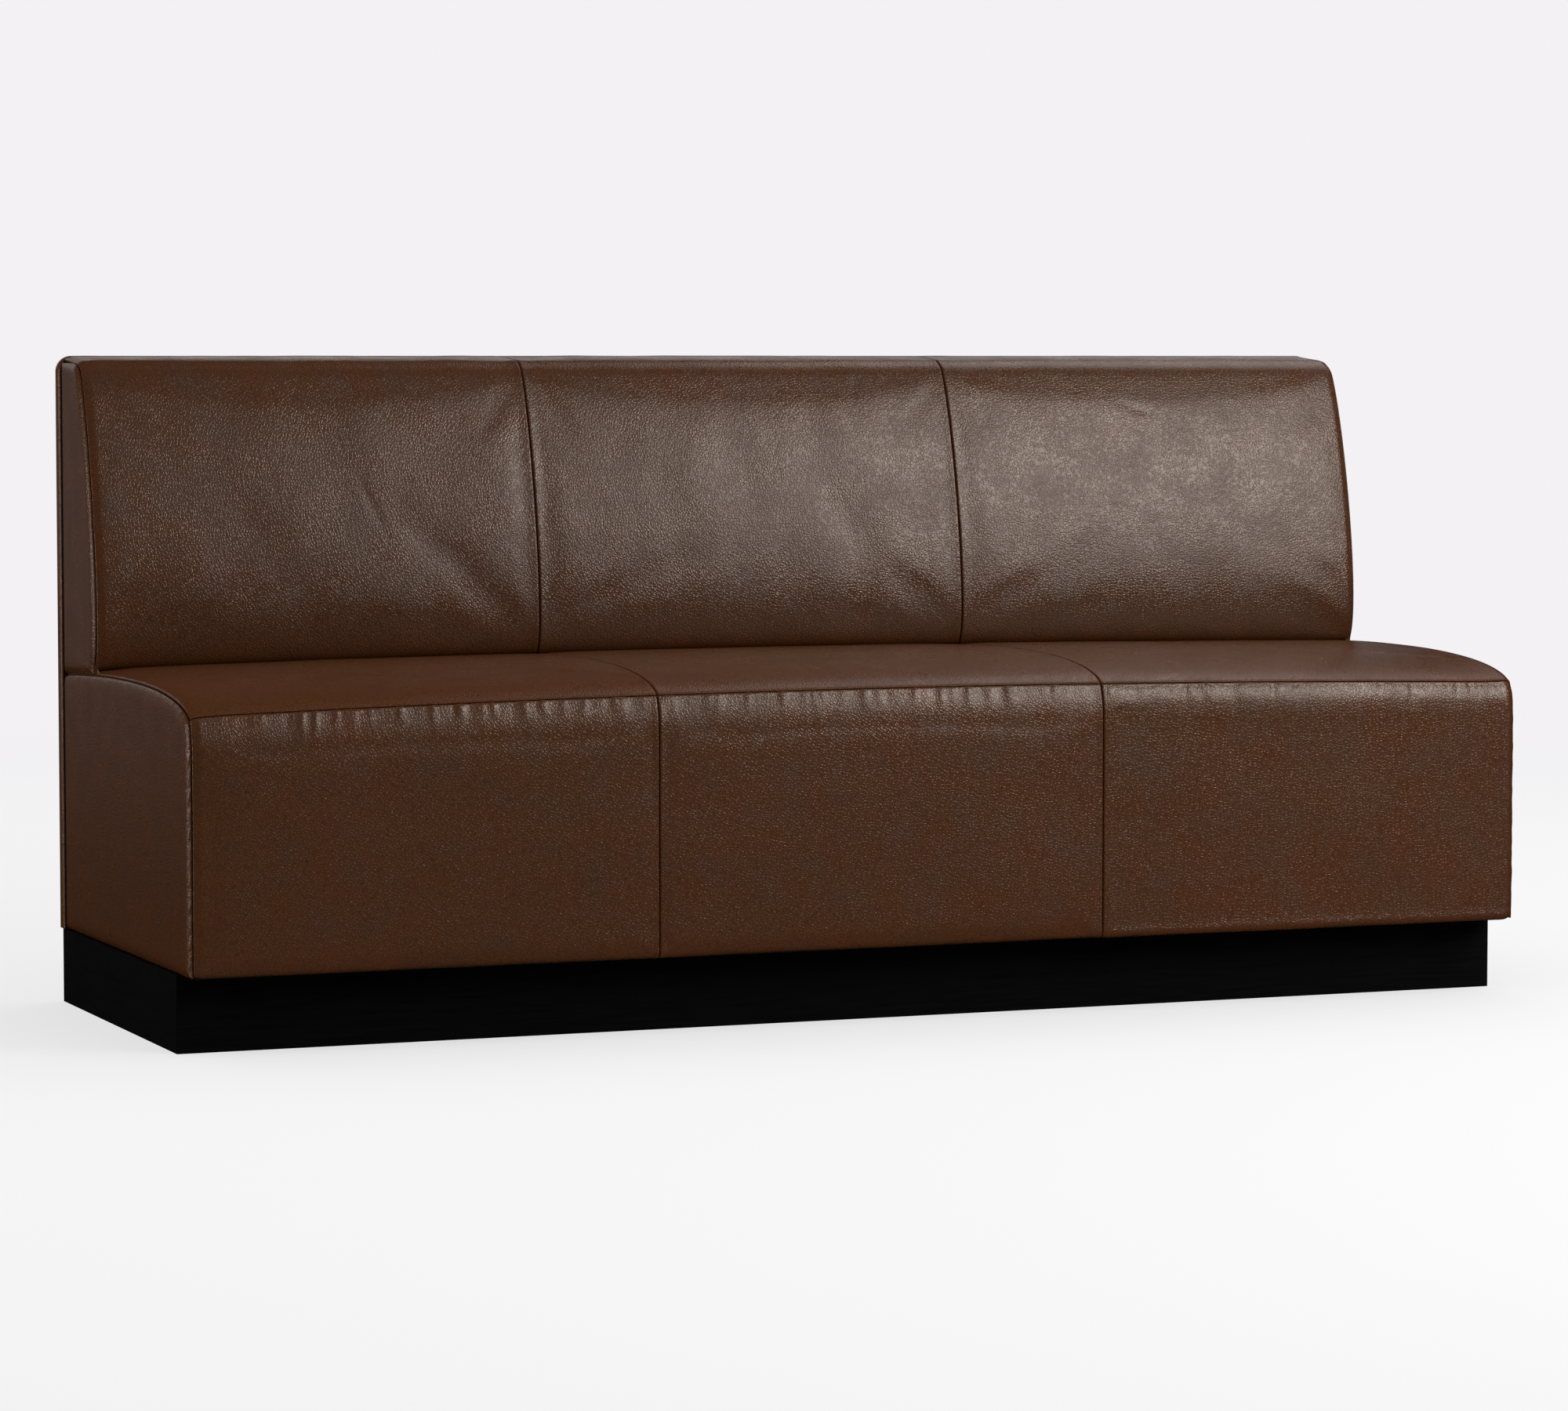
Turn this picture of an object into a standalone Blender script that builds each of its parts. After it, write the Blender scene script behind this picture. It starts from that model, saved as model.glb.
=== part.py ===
"""A three-panel leather banquette on a recessed black plinth, as the pieces it is put together from.

Metres. X runs along the length, the front faces -Y, Z is up, and the origin is on the floor at the
middle of the footprint. Inside the file a section is drawn in depth d, from the front face to the
back, and height z.
"""

import math

import bmesh
import bpy
from mathutils import Vector
from mathutils.geometry import interpolate_bezier

# Overall sizes.
LENGTH = 1.800
DEPTH = 0.632
HEIGHT = 0.838
CENTRE_PANEL = 0.604  # between the two seams that part seat and back in three

# Plinth: its height is the floor to the underside of the leather.
PLINTH_HEIGHT = 0.0957
PLINTH_FRONT_INSET = 0.063
PLINTH_REAR_INSET = 0.015
PLINTH_END_INSET = 0.001
PLINTH_BOARD = 0.018

# Seat section at the ends, and how much higher the middle of the seat is.
SEAT_END_HEIGHT = 0.4435
SEAT_CROWN = 0.0105
CROWN_FROM_FRONT = 0.289
ROLL_HEIGHT = 0.0475  # the front begins to roll this far below the crown
ROLL_SHOULDER = 0.0205  # height below the crown that the roll aims at
ROLL_DEPTH = 0.089  # depth over which the roll eases into the crown
SEAT_REAR_FALL = 0.010  # drop from the crown to the back board
FRONT_SEAM_DEPTH = 0.009  # the front seam lies this far behind the front face

# Back cushion section. Thicknesses are measured from the front of the back board's slab.
BACK_SLAB = 0.029
BACK_FOOT = 0.148
BACK_HEAD = 0.0805
LUMBAR_PUSH = 0.038
LUMBAR_RUN = 0.050
HEAD_PUSH = 0.041
HEAD_RUN = 0.047
TOP_FALL = 0.0065
TOP_ROUND = 0.012
UNDER_TUCK = 0.030
CROWN_FADE = 0.060  # the crown of the seat fades out of the back over this height
SLAB_CORNER = 0.020
SLAB_EDGE = 0.006

# Leather and its seams.
LEATHER = 0.0016
SEAM_GAP = 0.0006
SEAM_ROLL = 0.003
CORNER_ROUND = 0.011

# Stuffing.
SEAT_FOAM = 0.060
FRONT_PAD = 0.010
FELT = 0.005
DUST_COVER = 0.0008

# Frame.
PLY = 0.018
RAIL = 0.022
HOUSING = 0.006
RIB_FOOT = 0.092
RIB_HEAD = 0.040
HEAD_FOAM = 0.030
BACK_RAIL = 0.020
BACK_RAIL_WIDTH = 0.060

# Zigzag springs and bolts.
SPRING_WIRE = 0.0038
SPRING_PITCH = 0.062
SPRING_SWING = 0.024
SPRINGS_PER_BAY = 3
BOLT_RADIUS = 0.004
BOLT_HEAD_RADIUS = 0.0085
BOLT_HEAD = 0.005
BOLT_GRIP = 0.016  # how far a bolt reaches into the back board
BOLT_HEIGHT = 0.280
BOLT_OUTER = 0.620
BOLT_INNER = 0.180

FIT = 0.0003  # clearance between pieces that touch

# How finely curves are drawn.
ROLL_STEPS = 8
FALL_STEPS = 3
BACK_STEPS = 8
FILLET_STEPS = 3
SEAM_STEPS = 2
PANEL_STEPS = 4
SPRING_POINTS = 5
BOLT_SIDES = 12

# Places that follow from the sizes.
half = LENGTH / 2
seam = CENTRE_PANEL / 2
slab_front = DEPTH - BACK_SLAB
seat_rear = slab_front - SEAM_GAP
skin = LEATHER + FIT
seam_clear = SEAM_ROLL + LEATHER + FIT
end_ease = CORNER_ROUND + SEAM_ROLL  # room round an end corner and its rolled seam
side_core = half - CORNER_ROUND - LEATHER  # outer face of the frame at the ends
leather_bottom = PLINTH_HEIGHT - CORNER_ROUND * (1 - math.sin(math.pi / 4))
foot_front = slab_front - BACK_FOOT
foam_bottom = SEAT_END_HEIGHT - SEAT_FOAM
felt_bottom = foam_bottom - FIT - FELT
spring_height = felt_bottom - FIT - SPRING_WIRE / 2
rail_top = spring_height - SPRING_WIRE / 2 - FIT
frame_bottom = PLINTH_HEIGHT + DUST_COVER + FIT
rail_face = seam_clear + FRONT_PAD + FIT
rear_rail_face = slab_front - FIT - RAIL
rib_bottom = SEAT_END_HEIGHT + SEAT_CROWN + FIT
rib_top = HEIGHT - HEAD_FOAM

for old in list(bpy.data.objects):
    bpy.data.objects.remove(old)

assembly = bpy.data.objects.new("banquette", None)
bpy.context.scene.collection.objects.link(assembly)


def finish(name, colour, roughness, metallic=0.0):
    material = bpy.data.materials.new(name)
    material.use_nodes = True
    shader = material.node_tree.nodes["Principled BSDF"]
    shader.inputs["Base Color"].default_value = (*colour, 1)
    shader.inputs["Roughness"].default_value = roughness
    shader.inputs["Metallic"].default_value = metallic
    return material


brown_leather = finish("brown_leather", (0.085, 0.045, 0.032), 0.45)
black_wood = finish("black_wood", (0.008, 0.008, 0.008), 0.7)
plywood = finish("plywood", (0.52, 0.38, 0.23), 0.65)
hardwood = finish("hardwood", (0.42, 0.28, 0.16), 0.6)
foam = finish("foam", (0.80, 0.76, 0.62), 0.95)
felt = finish("felt", (0.30, 0.30, 0.31), 0.95)
cambric = finish("cambric", (0.02, 0.02, 0.02), 0.9)
spring_steel = finish("spring_steel", (0.45, 0.45, 0.47), 0.35, 1.0)
zinc_steel = finish("zinc_steel", (0.62, 0.63, 0.66), 0.3, 1.0)


def piece(name, data, material, at=(0, 0, 0)):
    """A named object of the assembly."""
    obj = bpy.data.objects.new(name, data)
    obj.location = at
    obj.parent = assembly
    data.materials.append(material)
    bpy.context.scene.collection.objects.link(obj)
    return obj


def mesh_of(bm, name, smooth=False):
    data = bpy.data.meshes.new(name)
    bm.to_mesh(data)
    bm.free()
    if smooth:
        data.shade_smooth()
        data.set_sharp_from_angle(angle=math.radians(50))
    return data


def block(low, high):
    """A box mesh about its own centre, and that centre, from two corners given as x, d, z."""
    size = Vector(high) - Vector(low)
    bm = bmesh.new()
    bmesh.ops.create_cube(bm, size=1)
    bmesh.ops.scale(bm, vec=size, verts=bm.verts)
    middle = Vector(low) + size / 2
    return bm, (middle.x, middle.y - DEPTH / 2, middle.z)


def board(name, low, high, material):
    bm, at = block(low, high)
    return piece(name, mesh_of(bm, name), material, at)


def cutter(name, data, at=(0, 0, 0)):
    """A helper that shapes other pieces and is no piece itself."""
    obj = bpy.data.objects.new(name, data)
    obj.location = at
    obj.parent = assembly
    obj.hide_render = True
    obj.display_type = "WIRE"
    bpy.context.scene.collection.objects.link(obj)
    return obj


def box_cutter(name, low, high):
    bm, at = block(low, high)
    return cutter(name, mesh_of(bm, name), at)


def cut(obj, tool, operation="DIFFERENCE"):
    modifier = obj.modifiers.new(tool.name, "BOOLEAN")
    modifier.operation = operation
    modifier.solver = "EXACT"
    modifier.object = tool


def prism(outline, low, high):
    """A section given in d and z, run along X from low to high."""
    bm = bmesh.new()
    face = bm.faces.new([bm.verts.new((low, d - DEPTH / 2, z)) for d, z in outline])
    swept = bmesh.ops.extrude_face_region(bm, geom=[face])
    moved = [v for v in swept["geom"] if isinstance(v, bmesh.types.BMVert)]
    bmesh.ops.translate(bm, vec=(high - low, 0, 0), verts=moved)
    bmesh.ops.recalc_face_normals(bm, faces=bm.faces)
    return bm


def fillet(points, index, radius):
    """The points with one corner of the polyline rounded."""
    corner = points[index]
    back = (points[index - 1] - corner).normalized()
    ahead = (points[index + 1] - corner).normalized()
    half_angle = back.angle(ahead) / 2
    centre = corner + (back + ahead).normalized() * radius / math.sin(half_angle)
    start = corner + back * radius / math.tan(half_angle) - centre
    end = corner + ahead * radius / math.tan(half_angle) - centre
    turn = start.angle_signed(end)
    arc = []
    for step in range(FILLET_STEPS + 1):
        angle = -turn * step / FILLET_STEPS
        spoke = Vector((
            start.x * math.cos(angle) - start.y * math.sin(angle),
            start.x * math.sin(angle) + start.y * math.cos(angle),
        ))
        arc.append(centre + spoke)
    return points[:index] + arc + points[index + 1:]


def curve(start, first_handle, second_handle, end, steps):
    return [Vector(p) for p in interpolate_bezier(start, first_handle, second_handle, end, steps + 1)]


def rise(x):
    """How much higher the seat is here than at its ends."""
    return SEAT_CROWN * (1 - (x / half) ** 2)


def clamped(value):
    return min(1.0, max(0.0, value))


def seat_lift(z):
    """Share of the rise that a height of the seat takes: none at the bottom of the front face."""
    return clamped((z - leather_bottom) / (SEAT_END_HEIGHT - ROLL_HEIGHT - leather_bottom))


def back_lift(z):
    """Share of the rise that a height of the back takes: all of it in the rounded foot on the seat."""
    return clamped(1 - (z - back_bottom - CORNER_ROUND) / CROWN_FADE)


def foam_lift(z):
    """The seat foam is flat underneath and crowned above."""
    return 1.0 if z > foam_bottom + FIT else 0.0


def seat_top(d):
    behind = max(0.0, d - CROWN_FROM_FRONT) / (seat_rear - CROWN_FROM_FRONT)
    return SEAT_END_HEIGHT - SEAT_REAR_FALL * behind ** 2


back_bottom = seat_top(foot_front) + FIT


def seat_section():
    """Front bottom edge, up the front face, over the roll and back along the seat."""
    points = []
    for step in range(FILLET_STEPS):
        angle = math.pi / 4 * (1 - step / FILLET_STEPS)
        points.append(Vector((
            CORNER_ROUND * (1 - math.cos(angle)),
            leather_bottom + CORNER_ROUND * (1 - math.sin(angle)),
        )))
    points.append(Vector((0, leather_bottom + CORNER_ROUND)))
    top = SEAT_END_HEIGHT
    points += curve(
        (0, top - ROLL_HEIGHT),
        (0, top - ROLL_SHOULDER),
        (ROLL_DEPTH, top),
        (CROWN_FROM_FRONT, top),
        ROLL_STEPS,
    )
    for step in range(1, FALL_STEPS + 1):
        d = CROWN_FROM_FRONT + (seat_rear - CROWN_FROM_FRONT) * step / FALL_STEPS
        points.append(Vector((d, seat_top(d))))
    return points


def back_front_corners():
    """The front of the back cushion from its foot to its head, before the two corners are rounded."""
    foot = Vector((foot_front, back_bottom))
    head = Vector((slab_front - BACK_HEAD, HEIGHT - TOP_FALL))
    lumbar = foot + Vector((-LUMBAR_PUSH, LUMBAR_RUN))
    return curve(foot, lumbar, head - Vector((HEAD_PUSH, HEAD_RUN)), head, BACK_STEPS)


def back_section(ease=0.0):
    """Under the foot, up the front of the back cushion and over its top to the slab.

    The two corners are rounded by ease more than the leather's.
    """
    points = [Vector((foot_front + UNDER_TUCK, back_bottom))]
    points += back_front_corners()
    points.append(Vector((seat_rear, HEIGHT)))
    points = fillet(points, len(points) - 2, TOP_ROUND + ease)
    return fillet(points, 1, CORNER_ROUND + ease)


def distances(points):
    """Distance of each point along the polyline."""
    walked = [0.0]
    for a, b in zip(points, points[1:]):
        walked.append(walked[-1] + (b - a).length)
    return walked


def normals(points):
    """Outward normals of a section that runs up the front and back over the top."""
    sides = [Vector((a.y - b.y, b.x - a.x)).normalized() for a, b in zip(points, points[1:])]
    inner = [(a + b).normalized() for a, b in zip(sides, sides[1:])]
    return [sides[0]] + inner + [sides[-1]]


def stationed(points, stations):
    """(point, normal) at each distance along the section."""
    walked = distances(points)
    outward = normals(points)
    found = []
    for station in stations:
        after = next((i for i, w in enumerate(walked) if i and w >= station), len(points) - 1)
        share = (station - walked[after - 1]) / (walked[after] - walked[after - 1])
        point = points[after - 1].lerp(points[after], share)
        found.append((point, outward[after - 1].lerp(outward[after], share).normalized()))
    return found


def stretch(points, start, end):
    """The points of the section from one distance along it to another."""
    walked = distances(points)
    inner = [w for w in walked if start + FIT < w < end - FIT]
    return [start] + inner + [end]


def front_seam_distance(points):
    """Distance along the seat section at which the front seam lies, on the roll."""
    roll_start = SEAT_END_HEIGHT - ROLL_HEIGHT
    past = next(i for i, p in enumerate(points) if p.y > roll_start and p.x >= FRONT_SEAM_DEPTH)
    before = points[past - 1]
    step = points[past] - before
    return distances(points)[past - 1] + (FRONT_SEAM_DEPTH - before.x) / step.x * step.length


def roll_distances():
    """Distances from a seam at which its rolled edge is drawn, from the seam outwards."""
    angles = [math.pi / 2 * step / SEAM_STEPS for step in range(SEAM_STEPS + 1)]
    return [SEAM_ROLL * (1 - math.cos(angle)) for angle in angles]


def dip(*seam_distances):
    """How far the leather sinks near one or two seams."""
    short = math.hypot(*(max(0.0, SEAM_ROLL - distance) for distance in seam_distances))
    short = min(short, SEAM_ROLL)
    return SEAM_ROLL - math.sqrt(SEAM_ROLL ** 2 - short ** 2)


def corner_turns():
    """(turn, distance from the seam) from the flat of a panel round the end corner to its seam."""
    last = math.pi / 4 - SEAM_GAP / 2 / CORNER_ROUND
    eased = last - SEAM_ROLL / CORNER_ROUND
    turns = [0.0, eased / 2] + [last - gone / CORNER_ROUND for gone in reversed(roll_distances())]
    return [(turn, (last - turn) * CORNER_ROUND) for turn in turns]


def side_stations(edge, toward):
    """(x, drop, tilt, distance from the seam) from the flat of a panel to one side seam."""
    if abs(edge) < half:
        gone = reversed(roll_distances())
        return [(edge - toward * (SEAM_GAP / 2 + g), 0.0, 0.0, g) for g in gone]
    flat = half - CORNER_ROUND
    return [
        (
            toward * (flat + CORNER_ROUND * math.sin(turn)),
            CORNER_ROUND * (1 - math.cos(turn)),
            toward * turn,
            gone,
        )
        for turn, gone in corner_turns()
    ]


def across_stations(left, right):
    lefts = side_stations(left, -1)
    rights = side_stations(right, 1)
    low = lefts[0][0]
    high = rights[0][0]
    middle = []
    for step in range(1, PANEL_STEPS):
        x = low + (high - low) * step / PANEL_STEPS
        middle.append((x, 0.0, 0.0, SEAM_ROLL))
    return lefts[::-1] + middle + rights


def leather_wall(obj):
    """Gives a panel's outer face the thickness of the hide, inwards."""
    wall = obj.modifiers.new("hide", "SOLIDIFY")
    wall.thickness = LEATHER
    wall.offset = -1
    wall.use_even_offset = True


def sewn_panel(name, section, lift, start, end, left, right):
    """A leather panel over a stretch of the section, its side seams and sewn ends rolled in."""
    low, low_sewn = start
    high, high_sewn = end
    low_cut = low + SEAM_GAP / 2 if low_sewn else low
    high_cut = high - SEAM_GAP / 2 if high_sewn else high
    stations = stretch(
        section,
        low_cut + (SEAM_ROLL if low_sewn else 0),
        high_cut - (SEAM_ROLL if high_sewn else 0),
    )
    edge = roll_distances()[:-1]
    if low_sewn:
        stations = [low_cut + gone for gone in edge] + stations
    if high_sewn:
        stations = stations + [high_cut - gone for gone in reversed(edge)]
    rows = stationed(section, stations)
    columns = across_stations(left, right)

    bm = bmesh.new()
    bmesh.ops.create_grid(bm, x_segments=len(columns) - 1, y_segments=len(rows) - 1, size=1)
    for vert in bm.verts:
        column = round((vert.co.x + 1) / 2 * (len(columns) - 1))
        row = round((vert.co.y + 1) / 2 * (len(rows) - 1))
        x, drop, tilt, side_gone = columns[column]
        point, normal = rows[row]
        low_gone = stations[row] - low_cut if low_sewn else SEAM_ROLL
        high_gone = high_cut - stations[row] if high_sewn else SEAM_ROLL
        sunk = dip(side_gone, min(low_gone, high_gone))
        place = point - normal * (drop + sunk * math.cos(tilt))
        x -= sunk * math.sin(tilt)
        vert.co = (x, place.x - DEPTH / 2, place.y + rise(x) * lift(point.y))
    obj = piece(name, mesh_of(bm, name, smooth=True), brown_leather)
    leather_wall(obj)
    return obj


def inset(outline, by):
    """A closed outline, drawn front, top, rear, bottom, moved in by a distance."""
    moved = []
    for before, point, after in zip(outline[-1:] + outline[:-1], outline, outline[1:] + outline[:1]):
        first = Vector((before.y - point.y, point.x - before.x)).normalized()
        second = Vector((point.y - after.y, after.x - point.x)).normalized()
        mitre = (first + second) / (1 + first.dot(second))
        moved.append(point - mitre * by)
    return moved


def ring(bm, outline, x, lift):
    """A closed loop of edges at x along an outline given in d and z."""
    verts = [bm.verts.new((x, p.x - DEPTH / 2, p.y + rise(x) * lift(p.y))) for p in outline]
    return [bm.edges.new(pair) for pair in zip(verts, verts[1:] + verts[:1])]


def bridged(bm, rings):
    for first, second in zip(rings, rings[1:]):
        bmesh.ops.bridge_loops(bm, edges=first + second)


def capped(bm, edges):
    return bmesh.ops.contextual_create(bm, geom=edges)["faces"][0]


def end_panel(name, outline, lift, side):
    """The leather of an end: flat, with its whole edge rolled round to the seam."""
    bm = bmesh.new()
    rings = []
    for turn, gone in corner_turns():
        sunk = dip(gone)
        moved = CORNER_ROUND * (1 - math.sin(turn)) + sunk * math.sin(turn)
        x = half - CORNER_ROUND * (1 - math.cos(turn)) - sunk * math.cos(turn)
        rings.append(ring(bm, inset(outline, moved), side * x, lift))
    bridged(bm, rings)
    flat = capped(bm, rings[0])
    bmesh.ops.recalc_face_normals(bm, faces=bm.faces)
    if flat.normal.x * side < 0:
        bmesh.ops.reverse_faces(bm, faces=bm.faces)
    obj = piece(name, mesh_of(bm, name, smooth=True), brown_leather)
    leather_wall(obj)
    return obj


def stuffing(name, outline, lift, left, right):
    """A foam block from one side seam to another, chamfered behind the corner at an end of the seat."""
    low = left + seam_clear if abs(left) < half else -half + end_ease
    high = right - seam_clear if abs(right) < half else half - end_ease
    places = [low + (high - low) * step / PANEL_STEPS for step in range(PANEL_STEPS + 1)]
    bm = bmesh.new()
    rings = [ring(bm, outline, x, lift) for x in places]
    if abs(left) == half:
        rings.insert(0, ring(bm, inset(outline, end_ease - skin), -half + skin, lift))
    if abs(right) == half:
        rings.append(ring(bm, inset(outline, end_ease - skin), half - skin, lift))
    bridged(bm, rings)
    capped(bm, rings[0])
    capped(bm, rings[-1])
    bmesh.ops.recalc_face_normals(bm, faces=bm.faces)
    return piece(name, mesh_of(bm, name, smooth=True), foam)


bays = (("left", -half, -seam), ("centre", -seam, seam), ("right", seam, half))
ends = (("left", -1), ("right", 1))


def plinth():
    """Four mitred boards and two cross rails housed in the front and rear ones."""
    low = Vector((-half + PLINTH_END_INSET, PLINTH_FRONT_INSET))
    high = Vector((half - PLINTH_END_INSET, DEPTH - PLINTH_REAR_INSET))
    top = PLINTH_HEIGHT - FIT
    corners = [low, Vector((high.x, low.y)), high, Vector((low.x, high.y))]
    names = ("plinth_front_board", "plinth_right_board", "plinth_rear_board", "plinth_left_board")
    boards = []
    for name, first, second in zip(names, corners, corners[1:] + corners[:1]):
        along = (second - first).normalized()
        inward = Vector((-along.y, along.x))
        gap = along * FIT
        plan = (
            first + gap,
            second - gap,
            second - gap + (inward - along) * PLINTH_BOARD,
            first + gap + (inward + along) * PLINTH_BOARD,
        )
        bm = bmesh.new()
        face = bm.faces.new([bm.verts.new((p.x, p.y - DEPTH / 2, 0)) for p in plan])
        swept = bmesh.ops.extrude_face_region(bm, geom=[face])
        moved = [v for v in swept["geom"] if isinstance(v, bmesh.types.BMVert)]
        bmesh.ops.translate(bm, vec=(0, 0, top), verts=moved)
        bmesh.ops.recalc_face_normals(bm, faces=bm.faces)
        boards.append(piece(name, mesh_of(bm, name), black_wood))
    inner_front = low.y + PLINTH_BOARD
    inner_rear = high.y - PLINTH_BOARD
    for name, side in ends:
        x = side * seam
        start = (x - PLINTH_BOARD / 2, inner_front - HOUSING, 0)
        end = (x + PLINTH_BOARD / 2, inner_rear + HOUSING, top)
        board(f"plinth_cross_rail_{name}", start, end, black_wood)
        housing = box_cutter(
            f"plinth_housing_{name}",
            (start[0] - FIT, start[1] - FIT, -HOUSING),
            (end[0] + FIT, end[1] + FIT, top + HOUSING),
        )
        cut(boards[0], housing)
        cut(boards[2], housing)


def seat_frame():
    """Front and rear rails let into rebates of the end panels, and partitions housed in the rails."""
    inner_end = side_core - PLY
    rails = []
    for name, d in (("seat_front_rail", rail_face), ("seat_rear_rail", rear_rail_face)):
        reach = inner_end + HOUSING
        rail = board(name, (-reach, d, frame_bottom), (reach, d + RAIL, rail_top), hardwood)
        rails.append(rail)
    for name, side in ends:
        faces = sorted((side * side_core, side * inner_end))
        panel = board(
            f"seat_end_panel_{name}",
            (faces[0], rail_face, frame_bottom),
            (faces[1], slab_front - FIT, rail_top),
            plywood,
        )
        inner = sorted((side * (inner_end - HOUSING), side * (inner_end + HOUSING + FIT)))
        rebates = (
            ("front", rail_face - HOUSING, rail_face + RAIL + FIT),
            ("rear", rear_rail_face - FIT, slab_front + HOUSING),
        )
        for where, near, far in rebates:
            rebate = box_cutter(
                f"end_panel_rebate_{where}_{name}",
                (inner[0], near, frame_bottom - HOUSING),
                (inner[1], far, rail_top + HOUSING),
            )
            cut(panel, rebate)
        x = side * seam
        start = (x - PLY / 2, rail_face + RAIL - HOUSING, frame_bottom)
        end = (x + PLY / 2, rear_rail_face + HOUSING, rail_top)
        board(f"seat_partition_{name}", start, end, plywood)
        housing = box_cutter(
            f"partition_housing_{name}",
            (start[0] - FIT, start[1] - FIT, frame_bottom - HOUSING),
            (end[0] + FIT, end[1] + FIT, rail_top + HOUSING),
        )
        for rail in rails:
            cut(rail, housing)
    return rails[1]


def springs():
    """Zigzag wire springs stretched from the front rail to the rear rail in each bay."""
    start = rail_face + RAIL / 2
    end = rear_rail_face + RAIL / 2
    waves = max(2, round((end - start) / SPRING_PITCH))
    count = waves * SPRING_POINTS
    edges = (-side_core + PLY, -seam, seam, side_core - PLY)
    number = 0
    for low, high in zip(edges, edges[1:]):
        for place in range(SPRINGS_PER_BAY):
            number += 1
            name = f"seat_spring_{number}"
            middle = low + (high - low) * (place + 0.5) / SPRINGS_PER_BAY
            wire = bpy.data.curves.new(name, "CURVE")
            wire.dimensions = "3D"
            wire.bevel_depth = SPRING_WIRE / 2
            wire.bevel_resolution = 0
            wire.use_fill_caps = True
            spline = wire.splines.new("POLY")
            spline.points.add(count)
            for i, point in enumerate(spline.points):
                share = i / count
                x = middle + SPRING_SWING * math.sin(2 * math.pi * waves * share)
                point.co = (x, start + (end - start) * share - DEPTH / 2, spring_height, 1)
            piece(name, wire, spring_steel)


def seat_stuffing(section):
    """Felt over the springs, three foam blocks, and pads on the front rail and the end panels."""
    board(
        "seat_felt_pad",
        (-side_core, rail_face, felt_bottom),
        (side_core, seat_rear - FIT, felt_bottom + FELT),
        felt,
    )
    first = front_seam_distance(section) + seam_clear
    last = distances(section)[-1] - FIT
    over = [p - n * skin for p, n in stationed(section, stretch(section, first, last))]
    under = [Vector((over[-1].x, foam_bottom)), Vector((over[0].x, foam_bottom))]
    for name, left, right in bays:
        stuffing(f"seat_foam_{name}", over + under, foam_lift, left, right)
    board(
        "seat_front_pad",
        (-side_core, seam_clear, leather_bottom + CORNER_ROUND),
        (side_core, seam_clear + FRONT_PAD, foam_bottom - FIT),
        foam,
    )
    for name, side in ends:
        faces = sorted((side * (side_core + FIT), side * (half - skin)))
        board(
            f"seat_end_pad_{name}",
            (faces[0], CORNER_ROUND + FIT, leather_bottom + CORNER_ROUND + FIT),
            (faces[1], seat_rear - CORNER_ROUND - FIT, foam_bottom - FIT),
            foam,
        )


def seat_leather(section):
    """Top and front panels in each bay, and the two ends."""
    front_seam = front_seam_distance(section)
    rear = distances(section)[-1]
    for name, left, right in bays:
        sewn = (front_seam, True)
        sewn_panel(f"seat_front_leather_{name}", section, seat_lift, (0.0, False), sewn, left, right)
        sewn_panel(f"seat_top_leather_{name}", section, seat_lift, sewn, (rear, False), left, right)
    face = [p for p in section if p.y > leather_bottom + CORNER_ROUND + FIT]
    outline = [Vector((seat_rear, leather_bottom)), Vector((0, leather_bottom))] + face
    outline = fillet(outline, 1, end_ease)
    for name, side in ends:
        end_panel(f"seat_end_leather_{name}", outline, seat_lift, side)


def dust_cover():
    board(
        "seat_dust_cover",
        (-half + CORNER_ROUND, CORNER_ROUND, PLINTH_HEIGHT),
        (half - CORNER_ROUND, slab_front - FIT, PLINTH_HEIGHT + DUST_COVER),
        cambric,
    )


def slab_outline(by):
    """The outside back's outline in x and z, moved in by a distance: only its top corners are round."""
    low = PLINTH_HEIGHT + by
    high = HEIGHT - by
    reach = half - by
    radius = max(SLAB_CORNER - by, SLAB_EDGE)
    outline = [Vector((-reach, low)), Vector((-reach, high)), Vector((reach, high)), Vector((reach, low))]
    return fillet(fillet(outline, 2, radius), 1, radius)


def slab_ring(bm, by, d):
    verts = [bm.verts.new((p.x, d - DEPTH / 2, p.y)) for p in slab_outline(by)]
    return [bm.edges.new(pair) for pair in zip(verts, verts[1:] + verts[:1])]


def back_board():
    """The upright board that seat box and back frame are fixed to, its rear edges eased."""
    bm = bmesh.new()
    rings = [
        slab_ring(bm, skin, slab_front),
        slab_ring(bm, skin, DEPTH - SLAB_EDGE),
        slab_ring(bm, SLAB_EDGE, DEPTH - skin),
    ]
    bridged(bm, rings)
    capped(bm, rings[0])
    capped(bm, rings[-1])
    bmesh.ops.recalc_face_normals(bm, faces=bm.faces)
    return piece("back_board", mesh_of(bm, "back_board"), plywood)


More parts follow.
